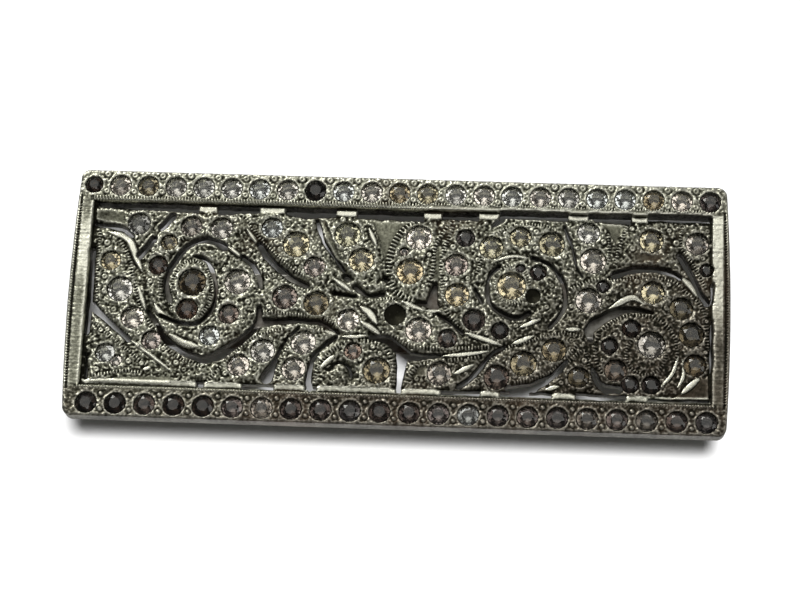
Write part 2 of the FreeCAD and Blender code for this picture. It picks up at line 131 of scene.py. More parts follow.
soft_light("table_lamp", (0.06, -0.05, 0.9), 0.2, 0.2, 95.0, (1, 1, 1), only_table)
soft_light("ceiling", (0, 0.75, 0.9), 2.2, 1.3, 0.3, (1, 1, 0.95), not_table)
soft_light("overhead", (-0.05, 0.22, 0.7), 0.5, 0.36, 0.92, (1, 1, 0.95), not_table)
soft_light("near_fill", (0.05, -0.3, 0.75), 0.34, 0.34, 1.7, (1, 1, 0.97), not_table)
soft_light("window", (-0.3, 0.45, 0.4), 0.3, 0.3, 7.0, (1, 1, 0.93), not_table)
soft_light("side_fill", (0.5, -0.05, 0.3), 0.2, 0.25, 1.5, (1, 1, 0.96), not_table)
world = bpy.data.worlds.new("room")
world.use_nodes = True
world.node_tree.nodes["Background"].inputs["Color"].default_value = (1, 1, 0.95, 1)
world.node_tree.nodes["Background"].inputs["Strength"].default_value = 0.08
bpy.context.scene.world = world

# ---- The casting: its plan -----------------------------------------------------------
# One openwork plate cast in a soft white alloy, washed with silver and blackened.  Its
# surface is worked out as a relief: a height for every point of a fine square net over
# the plan, with everything that follows pressed into it.  Lengths here are millimetres.
MM = 0.001
net_step = 0.08
plate_low, plate_high = (np.array(corner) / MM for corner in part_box("cast_plate"))
back_z, rim_z = plate_low[2], plate_high[2]
half_width = plate_high[1]
end_bulge = 0.45                       # how far each end bows out at mid width
half_length = plate_high[0] - end_bulge
corner_radius = 0.9
panel_left, panel_right, panel_bottom, panel_top = -33.45, 33.45, -10.3, 10.2
ground_z = rim_z - 0.75                # lowest part of the leaves, at their edges
net_x = np.arange(-plate_high[0] - 0.2, plate_high[0] + 0.2 + net_step, net_step)
net_y = np.arange(-half_width - 0.2, half_width + 0.2 + net_step, net_step)
plan_x, plan_y = np.meshgrid(net_x, net_y)
height = np.full(plan_x.shape, ground_z)
reach = 1.3                            # how far an opening's edge is felt around it
opening = np.full(plan_x.shape, -reach)    # above zero where there is no metal
grain = np.ones(plan_x.shape)          # how rough the cast skin is, 1 on the leaves


def smooth_line(points, spacing=0.2):
    """Close points along a smooth curve through the given ones."""
    given = np.array(points, float)
    ends = np.vstack([2 * given[0] - given[1], given, 2 * given[-1] - given[-2]])
    runs = []
    for before, start, end, after in zip(ends, ends[1:], ends[2:], ends[3:]):
        count = max(2, int(np.hypot(*(end - start)) / spacing) + 1)
        t = (np.arange(count) / count)[:, None]
        runs.append(start + 0.5 * t * (end - before + t * (
            2 * before - 5 * start + 4 * end - after
            + t * (3 * start - before - 3 * end + after))))
    return np.vstack(runs + [given[-1:]])


def net_window(low, high):
    """The part of the net between two corners, as a pair of slices."""
    columns = np.clip(((np.array([low[0], high[0] + net_step]) - net_x[0]) / net_step)
                      .astype(int), 0, len(net_x))
    rows = np.clip(((np.array([low[1], high[1] + net_step]) - net_y[0]) / net_step)
                   .astype(int), 0, len(net_y))
    return slice(*rows), slice(*columns)


def near_line(points, limit):
    """(window, distance from the line, distance along it, its length) on the net."""
    line = smooth_line(points)
    steps = np.hypot(*np.diff(line, axis=0).T)
    along = np.concatenate([[0], np.cumsum(steps)])
    window = net_window(line.min(0) - limit, line.max(0) + limit)
    row_0, column_0 = window[0].start, window[1].start
    away = np.full(plan_x[window].shape, 9.0)
    run = np.zeros(away.shape)
    for k, (a, b) in enumerate(zip(line, line[1:])):
        rows, columns = net_window(np.minimum(a, b) - limit, np.maximum(a, b) + limit)
        here = (slice(rows.start - row_0, rows.stop - row_0),
                slice(columns.start - column_0, columns.stop - column_0))
        dx = net_x[columns][None, :] - a[0]
        dy = net_y[rows][:, None] - a[1]
        leg = b - a
        t = np.clip((dx * leg[0] + dy * leg[1]) / (leg @ leg), 0, 1)
        distance = np.hypot(dx - t * leg[0], dy - t * leg[1])
        closer = distance < away[here]
        away[here] = np.where(closer, distance, away[here])
        run[here] = np.where(closer, along[k] + t * steps[k], run[here])
    return window, away, run, along[-1]


def rise(x):
    """0 below 0, 1 above 1, and a smooth climb between."""
    x = np.clip(x, 0, 1)
    return x * x * (3 - 2 * x)


def blur(field, size):
    """The field averaged over about this many millimetres."""
    rows = np.fft.fftfreq(field.shape[0], net_step)[:, None]
    columns = np.fft.rfftfreq(field.shape[1], net_step)[None, :]
    fade = np.exp(-2 * (math.pi * size) ** 2 * (rows ** 2 + columns ** 2))
    return np.fft.irfft2(np.fft.rfft2(field) * fade, field.shape)


def speckle(seed, size):
    """Seeded random relief of about unit height, its grains about size across."""
    noise = blur(np.random.default_rng(seed).standard_normal(plan_x.shape), size / 2)
    return noise / noise.std()

# ---- The casting: pierced gaps between the leaves ------------------------------------
# Narrow openings that go right through the plate, sawn or cast, with their edges
# milled into fine beads.  Each: width where it starts, width where it ends, then the
# points of its middle line.
gaps = [
    (0.75, 0.75, (-24.85, 8.9), (-25.9, 7.55)),
    (0.8, 0.75, (-26.7, 6.15), (-28.1, 4.3)),
    (0.4, 0.6, (-33.15, 7.7), (-31.35, 7.55), (-30.05, 7.25), (-29.2, 6.55)),
    (0.9, 0.6, (-32.85, -1.5), (-31.35, -2.8)),
    (0.6, 0.6, (-31.35, -2.8), (-28.55, -5.25)),
    (0.5, 0.7, (-26.75, -1.9), (-25.75, -3.3), (-24.65, -5.0), (-22.85, -6.25), (-20.55, -7.1)),
    (0.8, 1.2, (-20.55, -7.1), (-19.25, -6.75), (-18.05, -6.05)),
    (1.1, 0.7, (-18.05, -6.05), (-16.05, -4.35), (-14.85, -3.0)),
    (0.7, 0.4, (-14.85, -2.9), (-14.8, -2.0), (-14.85, -1.1)),
    (1.0, 0.6, (-14.85, -2.8), (-12.05, -2.5), (-10.25, -2.4)),
    (0.6, 0.3, (-10.25, -2.4), (-8.0, -2.6), (-6.2, -3.75)),
    (0.8, 0.5, (-19.0, 5.55), (-19.9, 6.05), (-21.3, 6.25), (-22.9, 5.55), (-24.0, 4.1),
     (-24.9, 2.25), (-24.9, 0.65), (-24.45, -0.8)),
    (0.4, 0.4, (-22.2, 4.4), (-20.8, 3.9), (-19.9, 2.25), (-19.55, 0.45), (-19.9, -1.4),
     (-20.75, -2.6), (-21.95, -3.25), (-23.75, -3.0), (-25.35, -2.45)),
    (0.75, 0.6, (-15.2, 5.95), (-14.0, 4.3), (-11.8, 2.45), (-9.9, 1.55)),
    (0.6, 0.45, (-16.9, 4.5), (-15.8, 3.6), (-15.0, 2.25), (-14.8, 1.15)),
    (0.3, 0.35, (-9.1, 8.9), (-8.2, 6.45), (-6.9, 4.6), (-5.9, 3.2)),
    (0.8, 0.7, (-5.65, 2.65), (-5.35, 2.45)),
    (0.6, 0.5, (-4.6, 1.55), (-3.2, 0.65), (-1.6, 0.85)),
    (0.4, 0.35, (-6.8, 0.75), (-4.6, 0.45)),
    (0.5, 0.4, (-1.4, 2.55), (-1.25, 2.35)),
    (0.5, 1.1, (3.95, 2.05), (3.7, 0.35)),
    (0.5, 1.0, (2.2, -0.05), (4.0, -0.25)),
    (0.3, 0.3, (4.3, -1.2), (5.7, -2.1), (7.05, -3.2)),
    (0.4, 0.35, (8.25, 1.65), (9.05, 0.15)),
    (0.4, 0.55, (10.75, 4.3), (9.75, 3.1), (9.55, 1.55), (9.95, 0.05), (11.35, -1.0),
     (12.85, -1.4), (14.05, -0.8)),
    (0.4, 0.5, (14.35, 5.3), (15.55, 4.9), (16.55, 4.3), (17.65, 2.55), (17.95, 0.35),
     (17.25, -1.2), (16.35, -2.2)),
    (0.35, 0.3, (17.65, 9.0), (18.55, 6.65), (19.05, 4.5), (19.65, 3.4)),
    (0.85, 0.6, (23.2, 3.7), (24.9, 4.3), (27.2, 4.5), (29.2, 4.1), (30.1, 3.6)),
    (0.6, 0.75, (30.0, 6.05), (31.1, 4.3), (32.15, 2.15), (32.95, 0.85)),
    (0.6, 1.2, (20.7, -3.5), (20.5, -2.5), (21.0, -1.8)),
    (1.3, 0.4, (21.0, -1.8), (23.4, -0.35), (25.3, -0.1), (27.2, -0.35)),
    (0.4, 0.9, (21.0, -6.85), (21.6, -8.25), (22.6, -9.0)),
    (1.0, 0.8, (22.5, -8.9), (23.7, -8.9)),
    (0.4, 0.9, (18.2, -6.15), (16.8, -7.65), (14.85, -8.8)),
    (1.0, 0.5, (14.75, -9.0), (13.25, -9.15), (12.05, -9.2)),
    (0.4, 1.1, (-2.7, -4.05), (-0.9, -4.2), (0.2, -5.05)),
    (1.2, 1.2, (0.2, -5.05), (1.1, -5.85)),
    (1.3, 0.8, (0.7, -5.85), (0.7, -7.25)),
    (0.8, 0.5, (0.65, -7.25), (0.55, -8.7), (0.45, -9.5)),
    (1.0, 0.3, (1.1, -5.95), (2.7, -6.0), (4.9, -5.8)),
    (0.3, 0.3, (-6.85, -7.6), (-6.35, -7.05), (-5.55, -6.95), (-4.85, -7.5), (-4.55, -8.3)),
    (0.35, 0.7, (-6.4, -4.15), (-7.65, -5.15), (-8.75, -6.55), (-9.15, -8.8), (-8.85, -9.9)),
    (0.25, 0.35, (-12.75, -6.75), (-11.85, -4.85), (-10.45, -3.3)),
    (0.5, 1.3, (-12.75, -6.95), (-13.15, -7.9), (-13.55, -8.9)),
    (0.3, 0.6, (11.65, -4.65), (10.05, -5.75), (9.05, -7.05), (8.05, -8.3), (6.9, -9.2)),
    (0.45, 0.45, (-33.2, 4.8), (-33.1, -0.15), (-33.15, -4.45)),
    (0.2, 0.2, (-33.0, -6.9), (-32.9, -9.6)),
    (0.25, 0.2, (33.5, 2.9), (33.45, 0.85)),
    (0.2, 0.25, (33.45, -1.2), (33.4, -6.75)),
    (0.7, 0.2, (10.85, 9.6), (9.95, 8.8)),
]
# Slots along the panel's upper and lower edges, left between the bridges of metal that
# tie the leaves to the border: left end, right end, straight side, far side at each end.
upper_slots = [
    (-33.05, -21.95, 10.1, 9.8, 9.25), (-19.95, -17.85, 10.1, 8.95, 9.25),
    (-18.15, -15.35, 10.1, 9.3, 9.5), (-12.55, -10.15, 10.1, 9.6, 9.1),
    (-10.35, -7.05, 10.1, 9.1, 9.4), (-4.75, 2.45, 10.1, 9.35, 9.15),
    (4.45, 8.35, 10.15, 9.5, 9.35), (10.65, 18.05, 10.4, 9.75, 9.6),
    (20.25, 24.8, 10.4, 9.75, 9.55), (26.6, 33.4, 10.5, 9.95, 9.85),
]
lower_slots = [
    (-20.95, -20.25, -10.2, -9.55, -9.55), (-16.1, -12.75, -10.2, -9.6, -9.55),
    (-9.45, -8.15, -10.15, -9.55, -9.6), (0.25, 0.8, -10.15, -9.5, -9.5),
    (5.0, 9.15, -10.15, -9.65, -9.5), (11.25, 16.7, -10.1, -9.5, -9.55),
    (19.3, 24.45, -10.1, -9.45, -9.6), (26.95, 33.3, -10.05, -9.85, -9.8),
]
# ---- The casting: openings in the net ------------------------------------------------
# The plan's edge, the pierced gaps and the slots go into one field that is above zero
# wherever there is no metal; its zero line is later cut to make every edge.


def cut_line(start_width, end_width, *points):
    """Opens a gap along a line, its width changing evenly from start to end."""
    window, away, run, length = near_line(points, reach + 0.7)
    half = (start_width + (end_width - start_width) * run / length) / 2
    opening[window] = np.maximum(opening[window], half - away)


def inside_distance(corners, window):
    """How far inside a convex outline each net point is, below zero when outside."""
    points = np.array(corners)
    turn_way = np.sign(np.cross(points[1] - points[0], points[2] - points[1]))
    inner = np.full(plan_x[window].shape, 99.0)
    for a, b in zip(points, np.roll(points, -1, axis=0)):
        edge = (b - a) / np.hypot(*(b - a)) * turn_way
        side = edge[0] * (plan_y[window] - a[1]) - edge[1] * (plan_x[window] - a[0])
        inner = np.minimum(inner, side)
    return inner


for gap in gaps:
    cut_line(*gap)
for x_0, x_1, straight_y, y_0, y_1 in upper_slots + lower_slots:
    outline = [(x_0, straight_y), (x_1, straight_y), (x_1, y_1), (x_0, y_0)]
    window = net_window(np.min(outline, axis=0) - reach, np.max(outline, axis=0) + reach)
    opening[window] = np.maximum(opening[window], inside_distance(outline, window))
opening += 0.035 * speckle(3, 0.9) * (np.abs(opening) < 0.5)

end_line = half_length + end_bulge * (1 - (plan_y / half_width) ** 2)
corner_x = np.maximum(np.abs(plan_x) - end_line + corner_radius, 0)
corner_y = np.maximum(np.abs(plan_y) - half_width + corner_radius, 0)
beyond = np.where(
    (corner_x > 0) & (corner_y > 0), np.hypot(corner_x, corner_y) - corner_radius,
    np.maximum(np.abs(plan_x) - end_line, np.abs(plan_y) - half_width))
opening = np.maximum(opening, beyond)

# ---- The casting: leaves, scrolls and border in relief --------------------------------
# Leaves swell up from their edges, the scroll bands stand higher, and the stone-set
# border stands highest, with a bevel down to the panel and a groove along each rail.
# A scroll band: the half width at every point of its middle line.
scrolls = [
    [(-16.9, 8.5, 1.2), (-19.4, 7.85, 1.3), (-22.7, 7.85, 1.3), (-25.15, 6.25, 1.2),
     (-26.15, 3.4, 1.1), (-26.25, 0.65, 0.9), (-25.25, -2.2, 0.8), (-23.05, -4.65, 0.9),
     (-20.15, -4.85, 1.5), (-17.9, -2.4, 1.7), (-17.1, 1.05, 1.9), (-18.6, 3.9, 1.1),
     (-21.5, 4.75, 0.4)],
    [(8.65, 2.9, 0.6), (9.95, 6.35, 1.4), (12.95, 7.7, 1.4), (16.35, 6.95, 1.4),
     (17.95, 4.9, 0.9), (18.5, 1.85, 0.5)],
    [(15.35, 4.2, 0.9), (16.7, 1.9, 1.0), (15.9, -0.2, 0.9), (14.6, -1.5, 0.4)],
    [(20.2, 1.1, 1.2), (22.1, 2.1, 0.9), (24.4, 2.3, 1.0), (27.2, 1.85, 1.3),
     (30.25, 0.15, 1.3), (31.35, -2.7, 1.4), (31.75, -6.05, 1.2)],
]
# Low round mounds: place, half length, half breadth, rise.
mounds = [
    (-22.3, 0.3, 2.3, 3.3, 0.16), (12.15, 2.15, 1.9, 1.9, 0.14), (25.65, -4.85, 4.2, 4.2, 0.1),
    (-6.2, -8.5, 1.3, 1.0, 0.16), (31.9, 7.3, 1.6, 1.8, 0.12),
]
leaf_swell = 0.32
leaf_shoulder = 0.95
border_groove_x = 34.75
leaf_top = ground_z + leaf_swell
upper_bevel_y, upper_bevel_width = 10.12, 0.3
lower_bevel_y, lower_bevel_width = -10.34, 0.12
upper_shelf_y, upper_shelf_width = 9.8, 0.25
lower_shelf_y, lower_shelf_width = -9.6, 0.14

height += leaf_swell * rise(np.sqrt(np.clip(-opening / leaf_shoulder, 0, 1)))
for band in scrolls:
    places = [(x, y) for x, y, half in band]
    window, away, run, length = near_line(places, 2.2)
    steps = np.hypot(*np.diff(np.array(places), axis=0).T)
    along = np.concatenate([[0], np.cumsum(steps)]) * (length / steps.sum())
    half = np.interp(run, along, [half for x, y, half in band])
    crown = np.sqrt(np.clip(1 - (away / half) ** 2, 0, 1))
    height[window] = np.maximum(height[window], leaf_top - 0.1 + 0.26 * crown)
for x, y, half_x, half_y, lift in mounds:
    spread = np.hypot((plan_x - x) / half_x, (plan_y - y) / half_y)
    height += lift * rise((1 - spread) * 2.5)
height += 0.05 * speckle(5, 1.6)

inner_x = np.where(plan_x < 0, panel_left - plan_x, plan_x - panel_right)
inner_y = np.where(plan_y < 0, panel_bottom - plan_y, plan_y - panel_top)
rail_bevel = 0.85 * rise((inner_x + 0.1) / 0.2) + 0.15 * np.clip(inner_x / 1.1, 0, 1)
upper_bevel = rise((plan_y - upper_bevel_y) / upper_bevel_width)
lower_bevel = rise((lower_bevel_y - plan_y) / lower_bevel_width)
border = np.maximum(rail_bevel, np.maximum(upper_bevel, lower_bevel))
ledge_z = rim_z - 0.5
shelf = np.clip(np.maximum((plan_y - upper_shelf_y) / upper_shelf_width,
                           (lower_shelf_y - plan_y) / lower_shelf_width), 0, 1)
height += (ledge_z - height) * rise(shelf)
grain *= 1 - rise(shelf) * 0.9
height += (rim_z - height) * border
edge_round = np.clip(1 + opening / 0.3, 0, 1)
height -= 0.24 * (1 - np.sqrt(np.clip(1 - edge_round ** 2, 0, 1))) * (border > 0.5)
height -= 0.1 * rise(1 + opening / 0.14) * (border <= 0.5)
rail_groove = np.abs(np.abs(plan_x) - border_groove_x - 0.5 * (end_line - half_length))
height -= 0.16 * np.exp(-(rail_groove / 0.11) ** 2) * (np.abs(plan_y) < 10.9)
on_rail = (inner_x > 0) & (inner_y < 0.3)
grain = np.where(on_rail, 0.18, grain)
grain = np.where((inner_y > 0.45) & ~on_rail, 0.7, grain)
smooth_strip = (plan_y > 10.2) & (plan_y < 10.75) & (plan_x > 3)
lower_ledge = (plan_y < -9.55) & (plan_y > -10.4) & (np.abs(plan_x) < 33.4)
grain = np.where(smooth_strip, 0.2, np.where(lower_ledge, 0, grain))
# Painted highlight, partly real rubbing: the rails' inner bevels are polished, most on the left rail's
# upper half and the right rail's upper part, and the whole lower ledge is polished bright.  Ribs and
# bridges add their real polish later.
rail_wear_and_highlight = np.where(plan_x < 0, rise((plan_y - 0.5) / 3) * rise((9 - plan_y) / 3),
                     rise((plan_y + 4) / 6)) * 0.85 + 0.15
polish_and_highlight = np.where(lower_ledge, 1.0, np.where(on_rail & (inner_x < 1.2), rail_wear_and_highlight, 0))
height += 0.012 * blur(np.random.default_rng(9).standard_normal(net_y.size)[:, None]
                       * np.ones(plan_x.shape), 0.05) * on_rail
height += (0.012 * speckle(7, 0.36) + 0.04 * speckle(8, 0.17)) * grain

# ---- The casting: tool marks ---------------------------------------------------------
# Ticks along the leaf edges, ribs and round grains.  Each tool is a function that presses
# one mark into the relief; the ticks and the ribs also set how rough or polished they
# leave the metal.


def tick_line(width, pitch, *points):
    """Strikes a row of fine ticks along a line."""
    window, away, run, length = near_line(points, width)
    count = max(3, round(length / pitch))
    tick = 0.5 - 0.5 * np.cos(2 * math.pi * run / length * count)
    struck = rise((0.6 * width - away) / (0.2 * width))
    height[window] += struck * (-0.07 + 0.19 * tick * (1 - (1.7 * away / width) ** 4))
    grain[window] *= 1 - 0.8 * struck


def rib(width, lift, *points):
    """Raises a rib along a line, tapering to both ends, with a groove beside it."""
    window, away, run, length = near_line(points, width)
    taper = np.sqrt(np.clip(4 * run / length * (1 - run / length), 0.04, 1))
    across = away / (0.5 * width * taper)
    level = blur(height, 0.25)[window]
    middle = (len(net_y[window[0]]) // 2, len(net_x[window[1]]) // 2)
    flat_top = level[middle] + lift * 0.6 + (level - level[middle]) * 0.4
    cover = rise((1.1 - across) / 0.2)
    height[window] += (flat_top - 0.03 * across ** 2 - height[window]) * cover
    height[window] -= 0.07 * np.exp(-((across - 1.3) / 0.22) ** 2)
    grain[window] *= 1 - cover
    polish_and_highlight[window] = np.maximum(polish_and_highlight[window], cover)


def ring_bead(x, y, width, lift=0.15, dimple=0.12):
    """Raises a round grain, dimpled in the middle, with a groove round it."""
    window = net_window((x - width, y - width), (x + width, y + width))
    distance = np.hypot(plan_x[window] - x, plan_y[window] - y) / (width / 2)
    here = (np.abs(net_x - x).argmin(), np.abs(net_y - y).argmin())
    level = height[here[1], here[0]]
    dome = level - 0.04 + lift * np.sqrt(np.clip(1 - distance ** 2, 0, 1))
    dome -= dimple * np.exp(-(distance / 0.34) ** 2)
    height[window] = np.where(distance < 1, np.maximum(dome, level - 0.1), height[window])
    height[window] -= 0.06 * np.exp(-((distance - 1.15) / 0.16) ** 2)


# ---- The casting: blades, beaded lines and smooth patches ----------------------------
# The designer's relief on the leaves: plain polished ribs that catch the light, rows of
# fine ticks struck along the leaf edges, and patches left smooth.
# A rib: width at its middle, height, then the points it passes through.
ribs = [
    (0.75, 0.2, (-31.8, 6.85), (-29.5, 6.05), (-28.4, 3.9), (-27.7, 2.45)),
    (0.5, 0.2, (-27.95, 0.55), (-27.05, -1.8)),
    (0.4, 0.15, (-28.45, -5.2), (-26.0, -6.9), (-23.7, -8.6)),
    (0.65, 0.22, (-26.05, -1.2), (-25.45, -2.1), (-24.45, -2.8)),
    (0.8, 0.22, (-24.25, -4.55), (-22.65, -5.45), (-21.05, -5.75)),
    (0.4, 0.18, (-26.8, -8.5), (-26.0, -8.2)),
    (0.45, 0.2, (-18.6, 5.55), (-17.0, 4.4)),
    (0.45, 0.2, (-16.65, 7.55), (-15.4, 5.95)),
    (0.5, 0.2, (-17.85, -6.05), (-16.6, -4.75)),
    (0.4, 0.15, (-7.6, -3.5), (-6.2, -3.85)),
    (0.8, 0.2, (-3.9, -0.8), (-2.9, -1.5), (-2.1, -2.6)),
    (0.6, 0.25, (-3.9, -2.45), (-2.8, -3.0), (-1.6, -3.85)),
    (0.4, 0.2, (-5.8, -4.15), (-4.3, -4.1), (-2.9, -3.9)),
    (0.55, 0.2, (-6.9, 2.25), (-5.9, 1.55), (-5.0, 0.9)),
    (0.5, 0.2, (-3.4, 8.05), (-2.5, 6.05)),
    (0.45, 0.2, (13.15, -2.5), (15.35, -1.5)),
    (0.5, 0.2, (0.5, -0.05), (2.9, -0.9)),
    (0.4, 0.2, (3.1, -0.9), (4.7, -0.9)),
    (0.55, 0.25, (7.25, -3.3), (9.25, -3.9), (11.35, -4.55)),
    (0.5, 0.2, (12.45, -4.35), (14.65, -3.4)),
    (0.45, 0.2, (18.0, -2.6), (19.6, -2.5)),
    (0.45, 0.18, (16.05, -9.2), (17.4, -8.8)),
    (0.5, 0.18, (-7.85, -7.6), (-6.45, -6.25)),
    (0.45, 0.22, (5.0, -5.95), (7.55, -5.65), (9.95, -5.25)),
    (0.5, 0.2, (6.4, -7.9), (8.45, -6.75)),
    (0.65, 0.22, (30.1, 3.7), (31.15, 2.75), (31.95, 1.55)),
    (0.6, 0.2, (22.6, -0.15), (24.9, 1.15), (26.3, 0.55)),
    (0.6, 0.2, (32.2, -7.45), (30.35, -9.2)),
    (0.35, 0.12, (29.95, -5.25), (29.35, -7.05), (28.15, -8.55)),
    (0.35, 0.12, (30.45, -5.45), (30.55, -7.15), (29.95, -8.55)),
    (0.35, 0.15, (10.25, 4.8), (12.05, 5.4), (13.85, 5.3)),
]
# A beaded line: width, pitch of its ticks, then the points of its middle line.
beaded_lines = [
    (0.75, 0.42, (2.05, 9.1), (0.3, 7.95), (-0.75, 5.95), (-1.05, 3.9), (-0.7, 1.75), (0.4, 0.6),
     (1.8, 0.05)),
    (0.5, 0.36, (3.3, 1.95), (3.7, 3.9), (3.75, 6.05), (4.55, 7.7), (5.45, 9.2)),
    (0.7, 0.4, (-3.9, -4.55), (-1.9, -4.65), (-0.7, -5.65), (-0.05, -7.15), (0.0, -9.4)),
    (0.5, 0.34, (-8.55, -9.5), (-8.25, -7.8), (-7.15, -6.15), (-5.8, -5.05), (-3.9, -4.55)),
    (0.5, 0.36, (1.5, -9.1), (1.7, -8.2), (2.6, -6.95), (4.0, -6.65), (6.1, -6.35), (9.05, -5.85)),
    (0.4, 0.32, (-3.1, -0.15), (-0.9, 0.25), (0.4, -0.35)),
    (0.5, 0.34, (-1.6, -3.5), (0.3, -4.3), (1.6, -4.95), (3.6, -5.15), (5.6, -5.05),
     (10.05, -4.85)),
    (0.5, 0.34, (-30.4, 5.95), (-29.2, 3.9), (-28.5, 1.35), (-27.35, -1.9), (-25.75, -4.25),
     (-24.45, -5.95), (-22.7, -7.2), (-20.4, -7.9)),
    (0.4, 0.32, (-32.55, 6.85), (-32.65, 3.2), (-32.35, -1.2), (-31.45, -2.4), (-29.75, -3.95),
     (-28.25, -4.95)),
    (0.4, 0.32, (-32.85, -3.2), (-29.6, -5.65), (-26.4, -8.0)),
    (0.4, 0.32, (-32.3, -9.3), (-29.0, -8.7), (-26.8, -8.8)),
    (0.5, 0.34, (-20.2, 6.95), (-22.2, 6.95), (-24.1, 5.85), (-25.3, 3.9), (-25.65, 1.45),
     (-25.35, -0.6)),
    (0.35, 0.3, (-22.1, 3.9), (-20.9, 3.3), (-20.3, 2.05), (-20.0, 0.45), (-20.35, -1.2),
     (-21.15, -2.3), (-22.25, -2.8), (-23.45, -2.5), (-24.25, -1.4), (-24.45, 0.45),
     (-24.1, 2.15), (-23.2, 3.5), (-22.1, 3.9)),
    (0.4, 0.32, (22.35, 8.35), (22.5, 6.25), (22.1, 4.4), (21.3, 3.7)),
    (0.4, 0.32, (24.4, 9.3), (23.6, 6.85), (23.1, 4.6)),
    (0.5, 0.34, (18.45, 1.85), (20.5, 2.9), (23.0, 3.1), (26.5, 3.5), (29.3, 3.2), (30.75, 1.95),
     (32.45, 0.35), (33.05, -3.2), (32.7, -7.25)),
    (0.5, 0.36, (21.6, -2.8), (21.2, -4.85), (21.7, -6.85), (23.2, -8.45)),
    (0.45, 0.34, (21.8, -2.5), (23.6, -1.1), (25.8, -0.7), (27.95, -1.2), (29.55, -3.0),
     (29.85, -5.25), (28.95, -7.55), (27.35, -9.2)),
    (0.4, 0.32, (28.7, -5.15), (28.05, -3.6), (26.6, -2.95), (25.1, -3.6), (24.45, -5.15),
     (25.05, -6.65), (26.55, -7.3), (28.05, -6.65), (28.7, -5.15)),
    (0.4, 0.32, (8.55, -8.8), (9.15, -8.1), (10.05, -6.15), (11.95, -4.75), (14.85, -3.8),
     (16.05, -3.4), (18.0, -3.0), (20.0, -3.3)),
    (0.4, 0.32, (19.4, -4.35), (18.0, -5.85), (16.65, -7.15), (14.95, -8.05), (12.65, -8.6)),
    (0.4, 0.32, (15.45, -9.0), (17.1, -7.65), (18.6, -5.95), (20.0, -4.85), (20.4, -5.65),
     (20.7, -7.25), (20.9, -8.7)),
    (0.5, 0.34, (5.65, 8.6), (4.95, 6.25), (4.55, 3.9), (5.0, 0.65), (5.5, -1.4), (7.25, -3.0),
     (11.05, -4.25)),
    (0.4, 0.32, (-16.9, 8.8), (-15.1, 6.55), (-13.1, 4.5), (-10.6, 2.65), (-8.5, 2.15)),
    (0.4, 0.32, (-14.5, 2.05), (-13.1, 2.55), (-11.6, 1.65), (-10.1, 1.05), (-7.9, 0.85)),
    (0.4, 0.32, (-14.45, -1.6), (-11.85, -1.8), (-8.4, -2.0), (-6.5, -2.9)),
    (0.4, 0.32, (-19.6, -9.3), (-18.9, -8.4), (-17.65, -6.85), (-15.65, -4.85), (-13.95, -4.05),
     (-12.05, -3.5)),
    (0.4, 0.32, (-12.45, -9.3), (-12.25, -7.5), (-11.65, -5.55), (-10.65, -4.15), (-9.45, -3.3),
     (-7.7, -3.3)),
    (0.4, 0.32, (-8.25, -4.25), (-8.75, -5.65), (-9.55, -7.7), (-9.75, -9.3)),
    (0.4, 0.32, (8.35, 3.3), (9.25, 5.95), (10.65, 7.95), (12.95, 9.0), (15.65, 8.9), (17.25, 7.95)),
    (0.35, 0.3, (10.35, 2.15), (10.95, 3.8), (12.15, 4.3), (13.45, 3.8), (14.05, 2.15), (13.45, 0.55),
     (12.15, 0.05), (10.95, 0.65), (10.35, 2.15)),
    (0.4, 0.32, (20.05, 6.95), (20.4, 3.3)),
    (0.4, 0.32, (30.3, 9.3), (30.2, 6.95), (31.6, 4.8), (32.85, 2.45)),
]
# Patches left smooth, by their corners.
smooth_patches = [
    [(-3.0, 8.9), (0.95, 8.9), (-1.4, 3.5)],
    [(21.55, 9.5), (24.1, 9.4), (23.2, 7.05)],
    [(3.65, 6.45), (4.35, 6.25), (4.3, 2.45), (3.8, 2.45)],
    [(-8.9, 8.9), (-8.2, 8.9), (-6.2, 4.3), (-6.9, 4.3)],
    [(-32.3, -9.2), (-32.3, -9.9), (-23.8, -9.9), (-23.8, -8.9), (-26.8, -9.2)],
    [(2.2, -7.15), (3.5, -6.85), (3.6, -7.9), (2.3, -8.1)],
    [(31.3, -8.25), (33.2, -7.05), (33.2, -9.8), (29.45, -9.8)],
    [(-33.15, 9.4), (-30.15, 9.2), (-29.95, 7.85), (-33.15, 8.2)],
    [(25.2, 6.05), (27.9, 6.05), (27.8, 5.4), (25.3, 5.4)],
]
